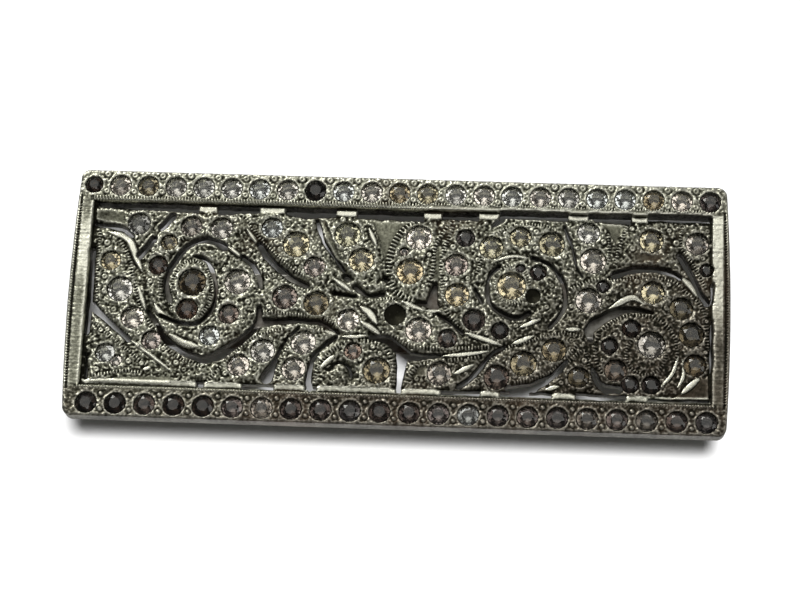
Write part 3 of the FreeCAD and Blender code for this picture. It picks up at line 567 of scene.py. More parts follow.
# Round grains punched up from the ground, each with a dimple: place and diameter.
ring_beads = [
    (-31.7, 5.55, 0.8), (-31.7, 1.75, 0.7), (-31.6, 0.1, 0.7), (-30.45, -1.9, 0.7),
    (-28.55, -1.0, 0.7), (-27.55, -4.45, 0.6), (-24.75, -6.05, 0.6), (-23.3, -7.6, 0.7),
    (-22.4, -8.3, 0.6), (-20.5, -7.7, 0.5), (-31.65, -4.25, 0.6), (-30.95, -4.15, 0.6),
    (-31.8, -8.6, 0.7), (-28.4, -7.6, 0.7), (-27.0, -7.8, 0.6), (-21.1, 7.85, 0.8),
    (-18.0, 8.6, 0.7), (-24.1, 7.15, 0.6), (-26.6, 4.9, 0.6), (-26.7, 1.35, 0.7),
    (-16.1, 5.2, 0.5), (-15.3, 4.1, 0.5), (-14.4, 2.9, 0.5), (-18.8, 2.9, 0.6),
    (-18.75, 0.05, 0.7), (-16.05, -0.6, 0.7), (-19.05, -2.8, 0.6), (-16.45, -2.8, 0.6),
    (-16.05, -6.35, 0.6), (-14.85, -8.0, 0.6), (-13.35, -4.65, 0.6), (-18.0, -8.6, 0.6),
    (-13.2, 1.75, 0.7), (-10.4, 0.55, 0.7), (-6.8, -2.1, 0.6), (-13.75, -1.1, 0.7),
    (-9.2, 5.65, 0.7), (-11.0, 4.0, 0.7), (-13.3, 6.15, 0.8), (-12.2, 8.3, 0.7),
    (-15.8, 7.85, 0.6), (-6.3, 9.0, 0.7), (-4.2, 6.35, 0.6), (-5.8, 5.2, 0.6),
    (0.7, 6.85, 0.5), (3.2, 5.3, 0.6), (-0.2, 4.1, 0.6), (2.7, 1.75, 0.5),
    (5.75, 6.25, 0.7), (5.05, 2.65, 0.6), (7.45, 2.8, 0.6), (7.55, -0.35, 0.6),
    (12.75, -2.3, 0.6), (9.65, -3.3, 0.6), (8.45, 4.9, 0.6), (11.35, 7.85, 0.7),
    (14.65, 8.15, 0.7), (14.55, 6.35, 0.6), (17.75, 5.5, 0.6), (16.45, 2.25, 0.6),
    (15.95, -0.15, 0.6), (21.9, 7.35, 0.7), (21.9, 3.9, 0.6), (19.15, 6.55, 0.6),
    (25.0, 6.65, 0.7), (29.7, 7.45, 0.8), (28.9, 8.85, 0.6), (24.9, 8.9, 0.6),
    (33.0, 8.85, 0.6), (32.5, 5.8, 0.6), (25.5, 3.0, 0.7), (28.9, 2.75, 0.6),
    (18.6, 0.05, 0.6), (22.4, 1.05, 0.5), (28.65, 0.15, 0.6), (29.75, -1.7, 0.6),
    (32.95, -1.2, 0.5), (30.15, -4.1, 0.6), (32.85, -4.65, 0.5), (23.3, -3.0, 0.6),
    (22.0, -5.85, 0.6), (28.95, -4.55, 0.6), (25.65, -7.55, 0.7), (23.7, -5.75, 0.7),
    (20.1, -5.95, 0.7), (12.05, -6.45, 0.7), (15.25, -4.95, 0.8), (9.35, -8.4, 0.6),
    (12.75, -7.85, 0.7), (10.25, -9.1, 0.5), (17.7, -8.4, 0.6), (20.6, -8.6, 0.6),
    (18.7, -3.8, 0.6), (1.2, -1.4, 0.8), (3.5, -1.4, 0.7), (6.95, -4.35, 0.6),
    (0.3, -2.9, 0.6), (4.1, -4.25, 0.5), (-2.4, -5.15, 0.6), (-1.6, -5.85, 0.6),
    (-3.7, -6.55, 0.6), (-5.75, -5.95, 0.6), (-3.25, -8.9, 0.6), (-0.4, -8.1, 0.5),
    (-6.45, -8.7, 0.6), (2.4, -8.5, 0.6), (3.5, -8.5, 0.6), (6.6, -7.05, 0.6),
    (7.55, -6.35, 0.5), (-11.75, -6.25, 0.6), (-11.35, -4.15, 0.5), (-9.15, -6.65, 0.5),
    (-1.6, -0.5, 0.6), (1.1, -0.8, 0.5), (-3.5, -1.8, 0.5), (-7.1, -0.05, 0.6),
]
# Bridges of metal from the leaves to the upper border: left end, right end, middle's y.
bridges = [
    (-22.0, -20.1, 9.7), (-15.3, -12.7, 9.8), (-7.0, -4.9, 9.7), (2.5, 4.3, 9.7),
    (8.4, 10.5, 9.85), (18.1, 20.1, 9.95), (24.9, 26.5, 9.95),
]
bridge_z = rim_z - 0.42

for corners in smooth_patches:
    spots = np.array(corners)
    window = net_window(spots.min(0) - 0.3, spots.max(0) + 0.3)
    cover = rise(inside_distance(corners, window) / 0.25 + 0.5)
    level = blur(height, 0.8)[window]
    height[window] += (level - 0.02 - height[window]) * cover * 0.92
    grain[window] *= 1 - cover
for line in beaded_lines:
    tick_line(*line)
for x_0, x_1, y in bridges:
    bridge = [(x_0 - 0.1, y - 0.3), (x_1 + 0.1, y - 0.3), (x_1 + 0.1, y + 0.28), (x_0 - 0.1, y + 0.28)]
    window = net_window((x_0 - 0.5, y - 0.7), (x_1 + 0.5, y + 0.7))
    cover = rise(inside_distance(bridge, window) / 0.12 + 0.5)
    height[window] += (bridge_z - height[window]) * cover
    grain[window] *= 1 - cover
    polish_and_highlight[window] = np.maximum(polish_and_highlight[window], cover)
for line in ribs:
    rib(*line)
for bead in ring_beads:
    ring_bead(*bead)

# The border's own ticks: a row along each inner edge, and one down each rail's groove.
tick_line(0.55, 0.32, (-33.6, 10.55), (-10.0, 10.65), (3.0, 10.8))
tick_line(0.3, 0.3, (3.0, 10.9), (33.7, 10.95))
tick_line(0.36, 0.3, (-33.8, -10.55), (0.0, -10.6), (33.8, -10.6))
tick_line(0.26, 0.3, (-34.85, 9.9), (-35.15, 0.0), (-34.85, -10.2))
tick_line(0.26, 0.3, (34.85, 10.1), (35.15, 0.0), (34.85, -10.4))

# ---- Stones: where each one sits -----------------------------------------------------
# Machine-cut glass chatons, foiled behind: a row in each long border and sixty-eight
# on the panel, by group and colour.  Lengths are millimetres; a stone's last number is
# the diameter of its girdle.
border_stone, corner_stone = 2.2, 1.8


def row_of(count, pitch, middle_x, y):
    """Places of one border row's stones, left to right."""
    return [(middle_x + pitch * (i - (count - 1) / 2), y, border_stone)
            for i in range(count)]


upper_row = row_of(23, 3.045, -0.25, 12.05)
upper_row[0] = (upper_row[0][0] + 0.15, upper_row[0][1], corner_stone)
lower_row = row_of(22, 3.12, 0.2, -12.35)

# ---- The casting: seats and the grains that hold the stones -----------------------------
# Each stone drops into a conical seat, and beads of the metal, raised round it with a
# punch, hold it down.  Two seats have lost their stones.
seat_gap = 0.06
seat_cone = 0.84                       # depth of the cone, as a share of the radius
girdle_below = 0.2                     # girdle's lower edge below the metal's surface


def bed(x, y, width, surface_z, grains=0, turned=0.0):
    """Levels the metal round a stone and raises small holding grains on it."""
    radius = width / 2
    wide = radius + 0.8
    window = net_window((x - wide, y - wide), (x + wide, y + wide))
    distance = np.hypot(plan_x[window] - x, plan_y[window] - y)
    level = rise((radius + 0.45 - distance) / 0.4)
    rough = height[window] - blur(height, 0.4)[window]
    metal = height[window] + (surface_z + rough - height[window]) * level * 0.9
    for k in range(grains):
        angle = turned + 2 * math.pi * k / grains
        from_grain = np.hypot(plan_x[window] - x - (radius + 0.2) * math.cos(angle),
                              plan_y[window] - y - (radius + 0.2) * math.sin(angle))
        dome = surface_z - 0.05 + 0.3 * np.sqrt(np.clip(1 - (from_grain / 0.27) ** 2, 0, 1))
        metal = np.where(from_grain < 0.27, np.maximum(metal, dome), metal)
    height[window] = metal


def seat(x, y, width, surface_z, cone=seat_cone):
    """The conical hole that a stone sits in."""
    radius = width / 2
    wide = radius + 0.3
    window = net_window((x - wide, y - wide), (x + wide, y + wide))
    distance = np.hypot(plan_x[window] - x, plan_y[window] - y)
    floor = surface_z - girdle_below - 0.03
    floor = floor - cone * radius * np.clip(1 - distance / radius, 0, 1)
    in_seat = distance < radius + seat_gap
    height[window] = np.where(in_seat, floor, height[window])
    grain[window] = np.where(in_seat, 0.3, grain[window])
    polish_and_highlight[window] = np.where(in_seat, 0, polish_and_highlight[window])


panel_stones = {
    "left_clear_stones": [
        (-28.45, 7.85, 2.4), (-22.7, 7.75, 2.2), (-19.4, 7.65, 2.3), (-29.95, 0.45, 2.7),
        (-28.35, -2.7, 2.4), (-31.0, -6.7, 2.0), (-29.8, -7.5, 1.2), (-17.3, 1.65, 2.7),
        (-19.95, -4.45, 2.1), (-14.15, -5.95, 2.5), (-16.65, -7.6, 2.3), (-13.9, 7.85, 2.2)],
    "left_amber_stones": [
        (-31.2, 3.6, 2.1), (-25.0, 5.85, 1.7), (-22.2, 1.45, 2.9), (-11.2, 6.05, 2.8)],
    "left_rose_stones": [
        (-26.0, 3.2, 2.0), (-26.15, -5.15, 2.0), (-22.55, -1.6, 2.2), (-18.05, -2.0, 2.1),
        (-12.1, 0.1, 2.6)],
    "centre_clear_stones": [
        (2.05, 7.25, 2.7), (0.5, 5.6, 0.9), (-5.2, -2.2, 2.3), (2.4, -3.1, 2.7),
        (-9.85, -4.85, 2.6), (-10.75, -7.8, 2.5), (4.8, -7.8, 2.5)],
    "centre_amber_stones": [
        (-5.7, 7.35, 2.7), (-4.1, 4.5, 2.6), (1.2, 3.4, 2.8), (6.35, 0.95, 2.5),
        (9.85, 6.35, 2.5), (12.95, 7.65, 2.2), (16.35, 6.95, 2.7), (12.15, 2.15, 3.0),
        (-8.7, -0.5, 2.6), (-1.9, -7.7, 2.8), (13.65, -6.45, 2.7)],
    "centre_rose_stones": [
        (-9.1, 3.6, 2.2), (6.15, 4.3, 2.4), (5.5, -3.95, 2.0), (-4.5, -5.65, 1.8),
        (10.85, -8.0, 2.6)],
    "centre_smoky_stones": [
        (7.05, 7.35, 1.9), (13.05, 4.1, 0.9), (14.95, 3.7, 1.7), (8.25, -1.8, 2.3),
        (11.05, -2.9, 1.8)],
    "right_clear_stones": [
        (20.25, 8.35, 2.3), (20.8, 5.2, 2.7), (31.9, 7.45, 2.4), (20.4, 0.75, 2.7),
        (27.15, -3.9, 2.8), (23.4, -6.85, 2.3)],
    "right_amber_stones": [
        (27.0, 7.65, 2.5), (27.2, 1.85, 2.4), (30.25, 0.15, 2.4), (31.35, -2.7, 2.6),
        (31.75, -6.05, 2.3), (16.85, -4.85, 2.5), (19.5, -7.75, 2.2)],
    "right_smoky_stones": [
        (32.9, 4.5, 1.4), (21.9, 2.35, 1.3), (25.0, -2.2, 1.9), (22.7, -4.2, 1.7),
        (24.95, -8.35, 1.8), (27.15, -8.35, 1.9)],
}
empty_seats = [(-0.2, -1.5, 2.2), (14.45, 1.05, 1.5)]
panel_z = rim_z - 0.5
last_bed_x = 32.5                      # past this a stone's bed would cut into the rail
dice = np.random.default_rng(21)
panel_places = [place for places in panel_stones.values() for place in places]
for x, y, width in [place for place in panel_places if place[0] < last_bed_x] + empty_seats:
    bed(x, y, width, panel_z, 5 if width > 1.4 else 3, dice.uniform(0, 6.28))
for x, y, width in upper_row + lower_row:
    bed(x, y, width, rim_z)
# Between each two stones of a row, a grain above and one below: offset in y and diameter.
for row, grains, lift, dimple in (
        (upper_row, ((1.2, 0.78), (-0.68, 0.72)), 0.15, 0.12),
        (lower_row, ((1.0, 0.58), (-0.72, 0.58)), 0.22, 0)):
    for (x_0, y, _), (x_1, _, _) in zip(row, row[1:]):
        for offset, width in grains:
            grain_y = y + offset + dice.uniform(-0.08, 0.08)
            ring_bead((x_0 + x_1) / 2, grain_y, width, lift, dimple)
for x, y, width in panel_places:
    seat(x, y, width, panel_z)
for x, y, width in empty_seats:
    seat(x, y, width, panel_z, cone=0.35)
for x, y, width in upper_row + lower_row:
    seat(x, y, width, rim_z)
height = np.clip(height, back_z + 0.06, rim_z + 0.16)

# How deep in a hollow, and how far on a crest, each place is: tarnish stays in the
# one and is rubbed off the other.
hollow = np.clip((blur(height, 0.32) - height) / 0.13, 0, 1)
crest = np.clip((height - blur(height, 0.22)) / 0.07, 0, 1)
edge_wear = np.exp(-((opening + 0.1) / 0.12) ** 2) * (opening < 0)
# Painted shade: the metal is drawn darker towards the lower right and in a band along the lower
# border, less so where it is polished.  The polish, with its painted highlight on the lower ledge and
# the rails, is then added to the crests.
painted_shade = rise((1.5 - 0.6 * plan_y + 0.28 * plan_x) / 12.5)
painted_shade = np.clip(painted_shade + 0.6 * rise((-10.3 - plan_y) / 0.5), 0, 1)
painted_shade *= 1 - 0.85 * polish_and_highlight
crest = np.clip(0.8 * crest + 0.25 * edge_wear + 0.9 * polish_and_highlight, 0, 1)
at_edge = rise(1 + opening / 0.16)
crest += (0.25 - crest) * 0.85 * at_edge
hollow += (0.3 - hollow) * at_edge

# ---- The casting: from net to metal --------------------------------------------------
# Each part of the casting is cut from the net: the relief above, a wall round every edge,
# and the plain cast back.  The rails and borders aren't quite closed: a few thin extra
# triangles of the back lie outside the rim at the plate's bowed ends.
back_spacing = 0.7                     # between the points inside the back
back_dent = 0.2                        # how far the uneven back rises, as a share
clip_half_x, clip_half_y = 30.5, 4.2   # the back is flat where the clip lies on it
back_wear_and_shade = (0.25, 0.1, 0.6, 0.3)      # hollow, crest, skin and painted shade all over the back


def net_value(field, x, y):
    """A field's value at scattered points, straight between the net's triangles."""
    u, v = (x - net_x[0]) / net_step, (y - net_y[0]) / net_step
    i = np.clip(u.astype(int), 0, len(net_x) - 2)
    j = np.clip(v.astype(int), 0, len(net_y) - 2)
    u, v = u - i, v - j
    low, far = field[j, i], field[j + 1, i + 1]
    right, up = field[j, i + 1], field[j + 1, i]
    return np.where(u > v, low + u * (right - low) + v * (far - right),
                    low + v * (up - low) + u * (far - up))


def plain_back(rim_x, rim_y, rims, window, gone, x_0, x_1, y_0, y_1):
    """The back's points and faces: the rim joined across, with an uneven middle."""
    inside_x, inside_y = (part.ravel() for part in np.meshgrid(
        np.arange(x_0 + 0.35, x_1 - 0.3, back_spacing),
        np.arange(y_0 + 0.35, y_1 - 0.3, back_spacing)))
    clear = net_value(opening, inside_x, inside_y) < -0.3
    inside_x, inside_y = inside_x[clear], inside_y[clear]
    back_x = np.concatenate([rim_x, inside_x])
    back_y = np.concatenate([rim_y, inside_y])
    _, _, faces, came_from, _, _ = delaunay_2d_cdt(
        [Vector(place) for place in zip(back_x, back_y)],
        [tuple(edge) for edge in rims.tolist()], [], 0, 1e-7)
    origin = np.array([sources[0] for sources in came_from])
    faces = origin[np.array(faces)]
    middle = np.stack([back_x, back_y])[:, faces].mean(axis=2)
    local = np.full(plan_x.shape, 1.0)
    local[window] = gone
    faces = faces[net_value(local, *middle) < 0]
    corner_xy = np.stack([back_x, back_y], axis=1)[faces]
    spans = corner_xy[:, 1:] - corner_xy[:, :1]
    clockwise = spans[:, 0, 0] * spans[:, 1, 1] < spans[:, 0, 1] * spans[:, 1, 0]
    faces = np.where(clockwise[:, None], faces, faces[:, ::-1])

    depth = np.clip(-net_value(opening, inside_x, inside_y) - 0.3, 0, 0.5)
    under_clip = (np.abs(inside_y) < clip_half_y) & (np.abs(inside_x) < clip_half_x)
    lift = np.where(under_clip, 0, depth * back_dent * dice.uniform(0.3, 1, len(depth)))
    heights = np.concatenate([np.full(len(rim_x), back_z), back_z + lift])
    back_shading_and_wear = np.broadcast_to(np.array(back_wear_and_shade)[:, None], (len(back_wear_and_shade), len(back_x)))
    return np.stack([back_x, back_y, heights, *back_shading_and_wear]), faces


def mesh_of(name, points, triangles, walls):
    """A mesh of points (x, y, z, three kinds of wear and the painted shade), triangles and four-sided
    walls.
    """
    mesh = bpy.data.meshes.new(name)
    mesh.vertices.add(points.shape[1])
    mesh.vertices.foreach_set("co", (points[:3].T * MM).astype(np.float32).ravel())
    mesh.loops.add(triangles.size + walls.size)
    mesh.loops.foreach_set("vertex_index", np.concatenate([triangles.ravel(), walls.ravel()])
                           .astype(np.int32))
    mesh.polygons.add(len(triangles) + len(walls))
    starts = np.concatenate([np.arange(len(triangles)) * 3,
                             triangles.size + np.arange(len(walls)) * 4])
    mesh.polygons.foreach_set("loop_start", starts.astype(np.int32))
    mesh.update(calc_edges=True)
    for label, values in zip(("hollow", "crest", "skin", "painted_shade"), points[3:]):
        layer = mesh.attributes.new(label, "FLOAT", "POINT")
        layer.data.foreach_set("value", values.astype(np.float32))
    return mesh


def mark_sharp(mesh, rims, upper_count):
    """Keeps each wall's upper and lower edge sharp, and the faces between smooth."""
    corners = np.empty(len(mesh.edges) * 2, np.int32)
    mesh.edges.foreach_get("vertices", corners)
    corners = corners.reshape(-1, 2)
    is_rim = np.zeros(len(mesh.vertices), bool)
    is_rim[rims.ravel()] = True
    same_level = (corners[:, 0] < upper_count) == (corners[:, 1] < upper_count)
    rim_pairs = {tuple(sorted(pair)) for pair in rims.tolist()}
    sharp = np.zeros(len(mesh.edges), bool)
    for k in np.flatnonzero(is_rim[corners].all(axis=1) & same_level):
        sharp[k] = tuple(sorted(corners[k].tolist())) in rim_pairs
    mesh.polygons.foreach_set("use_smooth", np.ones(len(mesh.polygons), bool))
    mesh.attributes.new("sharp_edge", "BOOLEAN", "EDGE").data.foreach_set("value", sharp)


def cut_from_net(name, x_0, x_1, y_0, y_1):
    """One piece of the casting, between x_0 and x_1 and between y_0 and y_1."""
    margin = 2 * net_step
    window = net_window((x_0 - margin, y_0 - margin), (x_1 + margin, y_1 + margin))
    x, y = plan_x[window], plan_y[window]
    gone = np.maximum(opening[window], np.maximum(np.maximum(x_0 - x, x - x_1),
                                                  np.maximum(y_0 - y, y - y_1)))
    tiny = 0.02 * net_step
    gone = np.where(np.abs(gone) < tiny, np.where(gone < 0, -tiny, tiny), gone)
    metal = gone < 0
    rows, columns = gone.shape
    number = np.full(gone.shape, -1)
    number[metal] = np.arange(metal.sum())
    layers = np.stack([x, y, height[window], hollow[window], crest[window], grain[window],
                       painted_shade[window]])
    points = [layers[:, metal]]
    total = metal.sum()
    crossing = {}
    for way, shift in (("across", (0, 1)), ("up", (1, 0)), ("slant", (1, 1))):
        here = (slice(0, rows - shift[0]), slice(0, columns - shift[1]))
        there = (slice(shift[0], rows), slice(shift[1], columns))
        cut = metal[here] != metal[there]
        share = gone[here][cut] / (gone[here][cut] - gone[there][cut])
        ends = layers[(slice(None),) + here][:, cut], layers[(slice(None),) + there][:, cut]
        points.append(ends[0] + (ends[1] - ends[0]) * share)
        table_of = np.full(gone.shape, -1)
        table_of[here][cut] = total + np.arange(cut.sum())
        crossing[way] = table_of
        total += cut.sum()
    points = np.concatenate(points, axis=1)
    flat = {way: table_of.ravel() for way, table_of in crossing.items()}
    number, metal_flat = number.ravel(), metal.ravel()
    cell = (np.arange(rows - 1)[:, None] * columns + np.arange(columns - 1)).ravel()
    low, right, far, up = cell, cell + 1, cell + columns + 1, cell + columns
    faces, rims = [], []
    for corner, side_at in (
            ((low, right, far), (("across", low), ("up", right), ("slant", low))),
            ((low, far, up), (("slant", low), ("across", up), ("up", low)))):
        inside = np.stack([metal_flat[c] for c in corner])
        side_no = [flat[way][at] for way, at in side_at]
        count = inside.sum(0)
        whole = count == 3
        faces.append(np.stack([number[c][whole] for c in corner], axis=1))
        for k in range(3):
            a, b, c = (corner[(k + s) % 3] for s in range(3))
            ab, _, ca = (side_no[(k + s) % 3] for s in range(3))
            lone = (count == 1) & inside[k]
            faces.append(np.stack([number[a], ab, ca], axis=1)[lone])
            rims.append(np.stack([ab, ca], axis=1)[lone])
            pair = (count == 2) & ~inside[k]
            faces.append(np.stack([ab, number[b], number[c]], axis=1)[pair])
            faces.append(np.stack([ab, number[c], ca], axis=1)[pair])
            rims.append(np.stack([ca, ab], axis=1)[pair])
    faces, rims = np.concatenate(faces), np.concatenate(rims)

    on_rim = np.unique(rims)
    back_no = np.full(total, -1)
    back_no[on_rim] = np.arange(len(on_rim))
    back_rims = back_no[rims]
    back, back_faces = plain_back(points[0, on_rim], points[1, on_rim], back_rims, window, gone,
                                  x_0, x_1, y_0, y_1)
    walls = np.stack([rims[:, 0], back_rims[:, 0] + total,
                      back_rims[:, 1] + total, rims[:, 1]], axis=1)
    mesh = mesh_of(name, np.concatenate([points, back], axis=1),
                   np.concatenate([faces, back_faces + total]), walls)
    mark_sharp(mesh, np.concatenate([rims, back_rims + total]), total)
    mesh.update()
    mesh.validate()
    piece = bpy.data.objects.new(name, mesh)
    bpy.context.scene.collection.objects.link(piece)
    return piece


border_cut_top, border_cut_bottom = 10.28, -10.28
rail_cut = 33.78
left_cut, right_cut = -11.5, 11.9      # between the openwork's three parts
past_end, past_side = 36, 14           # clear of the plate all round
castings = [
    cut_from_net("openwork_left", -rail_cut, left_cut, border_cut_bottom, border_cut_top),
    cut_from_net("openwork_middle", left_cut, right_cut, border_cut_bottom, border_cut_top),
    cut_from_net("openwork_right", right_cut, rail_cut, border_cut_bottom, border_cut_top),
    cut_from_net("upper_border", -past_end, past_end, border_cut_top, past_side),
    cut_from_net("lower_border", -past_end, past_end, -past_side, border_cut_bottom),
    cut_from_net("left_rail", -past_end, -rail_cut, border_cut_bottom, border_cut_top),
    cut_from_net("right_rail", rail_cut, past_end, border_cut_bottom, border_cut_top),
]

# ---- The casting: blackened silver ---------------------------------------------------
# The silver wash has gone dark olive-grey in every hollow and stays bright where cloth
# and hair rub it.  Painted shade darkens it towards the lower right and along the lower
# border, and a painted highlight brightens the lower ledge and the rails.  The ageing is a
# node group, used again on the clip.


def new_group(name, inputs, outputs):
    """A shader group with its sockets; an input is (name, kind, value)."""
    group = bpy.data.node_groups.new(name, "ShaderNodeTree")
    for label, kind, value in inputs:
        socket = group.interface.new_socket(label, in_out="INPUT", socket_type=kind)
        socket.default_value = value
    for label, kind in outputs:
        group.interface.new_socket(label, in_out="OUTPUT", socket_type=kind)
    return group


def add_node(tree, kind, values=(), **settings):
    """A node with its settings; values are (socket, value or other socket)."""
    node = tree.nodes.new(kind)
    for label, setting in settings.items():
        setattr(node, label, setting)
    for socket, value in values:
        if isinstance(value, bpy.types.NodeSocket):
            tree.links.new(value, node.inputs[socket])
        else:
            node.inputs[socket].default_value = value
    return node


def maths(tree, operation, *values):
    """A maths node's output, kept from 0 to 1 after MULTIPLY_ADD and SUBTRACT."""
    node = add_node(tree, "ShaderNodeMath", enumerate(values), operation=operation)
    node.use_clamp = operation in ("MULTIPLY_ADD", "SUBTRACT")
    return node.outputs[0]


def colour_mix(tree, share, first, second):
    """The output of a node that mixes two colours."""
    node = add_node(tree, "ShaderNodeMix", ((0, share), (6, first), (7, second)),
                    data_type="RGBA")
    return node.outputs[2]


def noise(tree, where, scale, detail=4.0, rough=0.55):
    """The output of a noise texture."""
    values = (("Vector", where), ("Scale", scale), ("Detail", detail), ("Roughness", rough))
    return add_node(tree, "ShaderNodeTexNoise", values).outputs["Fac"]


COLOUR, NUMBER, VECTOR = "NodeSocketColor", "NodeSocketFloat", "NodeSocketVector"
ageing = new_group(
    "ageing",
    [("Place", VECTOR, (0, 0, 0)), ("Hollow", NUMBER, 0.0), ("Crest", NUMBER, 0.0),
     ("Clean Color", COLOUR, (0.6, 0.6, 0.55, 1)), ("Worn Color", COLOUR, (0.8, 0.8, 0.7, 1)),
     ("Tarnish Color", COLOUR, (0.02, 0.02, 0.015, 1)),
     ("Stain Color", COLOUR, (0.1, 0.05, 0.02, 1)), ("Tarnish", NUMBER, 0.5),
     ("Stain", NUMBER, 0.2), ("Mottle Scale", NUMBER, 900.0)],
    [("Color", COLOUR), ("Dull", NUMBER), ("Grit", NUMBER)])
inside = add_node(ageing, "NodeGroupInput").outputs
fine = noise(ageing, inside["Place"], inside["Mottle Scale"], 5.0, 0.62)
broad = noise(ageing, inside["Place"], maths(ageing, "MULTIPLY", inside["Mottle Scale"], 0.12))
film = maths(ageing, "ADD", maths(ageing, "MULTIPLY", fine, 0.9),
             maths(ageing, "MULTIPLY", broad, 0.5))
film = maths(ageing, "ADD", film, maths(ageing, "SUBTRACT", inside["Tarnish"], 0.7))
film = maths(ageing, "ADD", maths(ageing, "MULTIPLY", inside["Hollow"], 0.85), film)
film = maths(ageing, "SUBTRACT", film, maths(ageing, "MULTIPLY", inside["Crest"], 0.6))
film_share = add_node(ageing, "ShaderNodeMapRange", (
    ("Value", film), ("From Min", 0.25), ("From Max", 0.95))).outputs[0]
rubbed = maths(ageing, "MULTIPLY", inside["Crest"], maths(ageing, "SUBTRACT", 1.3, fine))
metal_colour = colour_mix(ageing, rubbed, inside["Clean Color"], inside["Worn Color"])
metal_colour = colour_mix(ageing, film_share, metal_colour, inside["Tarnish Color"])
stain_share = add_node(ageing, "ShaderNodeMapRange", (
    ("Value", noise(ageing, inside["Place"], 130.0, 3.0)),
    ("From Min", 0.52), ("From Max", 0.75))).outputs[0]
stain_share = maths(ageing, "MULTIPLY", stain_share, inside["Stain"])
metal_colour = colour_mix(ageing, stain_share, metal_colour, inside["Stain Color"])
add_node(ageing, "NodeGroupOutput", (
    ("Color", metal_colour), ("Dull", film_share), ("Grit", fine)))

cast_finish = bpy.data.materials.new("blackened_silver")
cast_finish.use_nodes = True
nodes = cast_finish.node_tree
shader = nodes.nodes["Principled BSDF"]
where = add_node(nodes, "ShaderNodeTexCoord").outputs["Object"]


def mesh_value(tree, label):
    """One of the values kept at the mesh's points: wear, skin and painted shade."""
    return add_node(tree, "ShaderNodeAttribute", attribute_name=label).outputs["Fac"]


skin = mesh_value(nodes, "skin")
painted_shade_share = mesh_value(nodes, "painted_shade")
# Painted shade: where the painted shade lies, the clean and the worn colour are both drawn darker and
# browner, and the tarnish thicker.
clean = colour_mix(nodes, painted_shade_share, (0.36, 0.36, 0.28, 1), (0.085, 0.065, 0.05, 1))
worn = colour_mix(nodes, maths(nodes, "MULTIPLY", painted_shade_share, 0.7), (0.9, 0.89, 0.78, 1),
                  (0.27, 0.235, 0.195, 1))
aged = add_node(nodes, "ShaderNodeGroup", (
    ("Place", where), ("Hollow", mesh_value(nodes, "hollow")),
    ("Crest", mesh_value(nodes, "crest")), ("Clean Color", clean), ("Worn Color", worn),
    ("Tarnish Color", (0.022, 0.021, 0.015, 1)), ("Stain Color", (0.12, 0.075, 0.05, 1)),
    ("Stain", 0.35), ("Mottle Scale", 3200.0),
    ("Tarnish", maths(nodes, "MULTIPLY_ADD", painted_shade_share, 0.15,
                      maths(nodes, "MULTIPLY", skin, 0.42)))), node_tree=ageing)
nodes.links.new(aged.outputs["Color"], shader.inputs["Base Color"])
shader.inputs["Metallic"].default_value = 1.0
shine = add_node(nodes, "ShaderNodeMapRange", (
    ("Value", maths(nodes, "ADD", aged.outputs["Dull"], maths(nodes, "MULTIPLY", skin, 0.4))),
    ("From Max", 1.4), ("To Min", 0.26), ("To Max", 0.6))).outputs[0]
nodes.links.new(shine, shader.inputs["Roughness"])
grit = add_node(nodes, "ShaderNodeBump", (
    ("Height", aged.outputs["Grit"]), ("Distance", 0.00006), ("Strength", 0.6)))
nodes.links.new(grit.outputs[0], shader.inputs["Normal"])

for piece in castings:
    piece.data.materials.append(cast_finish)
    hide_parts("cast_plate")
    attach(piece, "barrette")

# ---- Stones: cut and foiled -----------------------------------------------------------
# A chaton has an eight-sided table, a sixteen-sided girdle, facets between the two and
# long ones beneath, and a silvery foil behind that has yellowed or gone brown.
girdle_share, crown_share, pavilion_share = 0.1, 0.3, 0.76   # heights, in radii
waist_share, table_share = 0.79, 0.55  # radii of the crown's two rings, in radii
waist_height = 0.56                    # of the crown's height


def chaton(points, faces, tints, x, y, width, surface_z, tint, turned):
    """Adds one stone's corners and faces; tint is (red, green, blue, foil's decay)."""
    radius = width / 2
    base = len(points)
    girdle_z = surface_z - girdle_below
    thick, crown, pavilion = girdle_share * radius, crown_share * radius, pavilion_share * radius

    def ring(count, size, z, offset):
        for k in range(count):
            angle = turned + 2 * math.pi * (k + offset) / count
            points.append((x + size * math.cos(angle), y + size * math.sin(angle), z))

    ring(16, radius, girdle_z, 0)
    ring(16, radius, girdle_z + thick, 0)
    ring(8, waist_share * radius, girdle_z + thick + waist_height * crown, 0.5)
    ring(8, table_share * radius, girdle_z + thick + crown, 0)
    points.append((x, y, girdle_z - pavilion))
    low, high, waist, table_ring, culet = base, base + 16, base + 32, base + 40, base + 48
    start = len(faces)
    for k in range(16):
        after = (k + 1) % 16
        faces.append((low + k, low + after, high + after, high + k))
    for k in range(8):
        after, girdle = (k + 1) % 8, 2 * k
        middle, last = girdle + 1, (girdle + 2) % 16
        faces.append((high + girdle, high + middle, waist + k))
        faces.append((high + middle, high + last, waist + k))
        faces.append((high + last, waist + after, table_ring + after, waist + k))
        faces.append((table_ring + k, waist + k, table_ring + after))
        faces.append((low + last, low + middle, culet))
        faces.append((low + middle, low + girdle, culet))
    faces.append(tuple(table_ring + k for k in range(8)))
    tints.extend([tint] * (len(faces) - start))


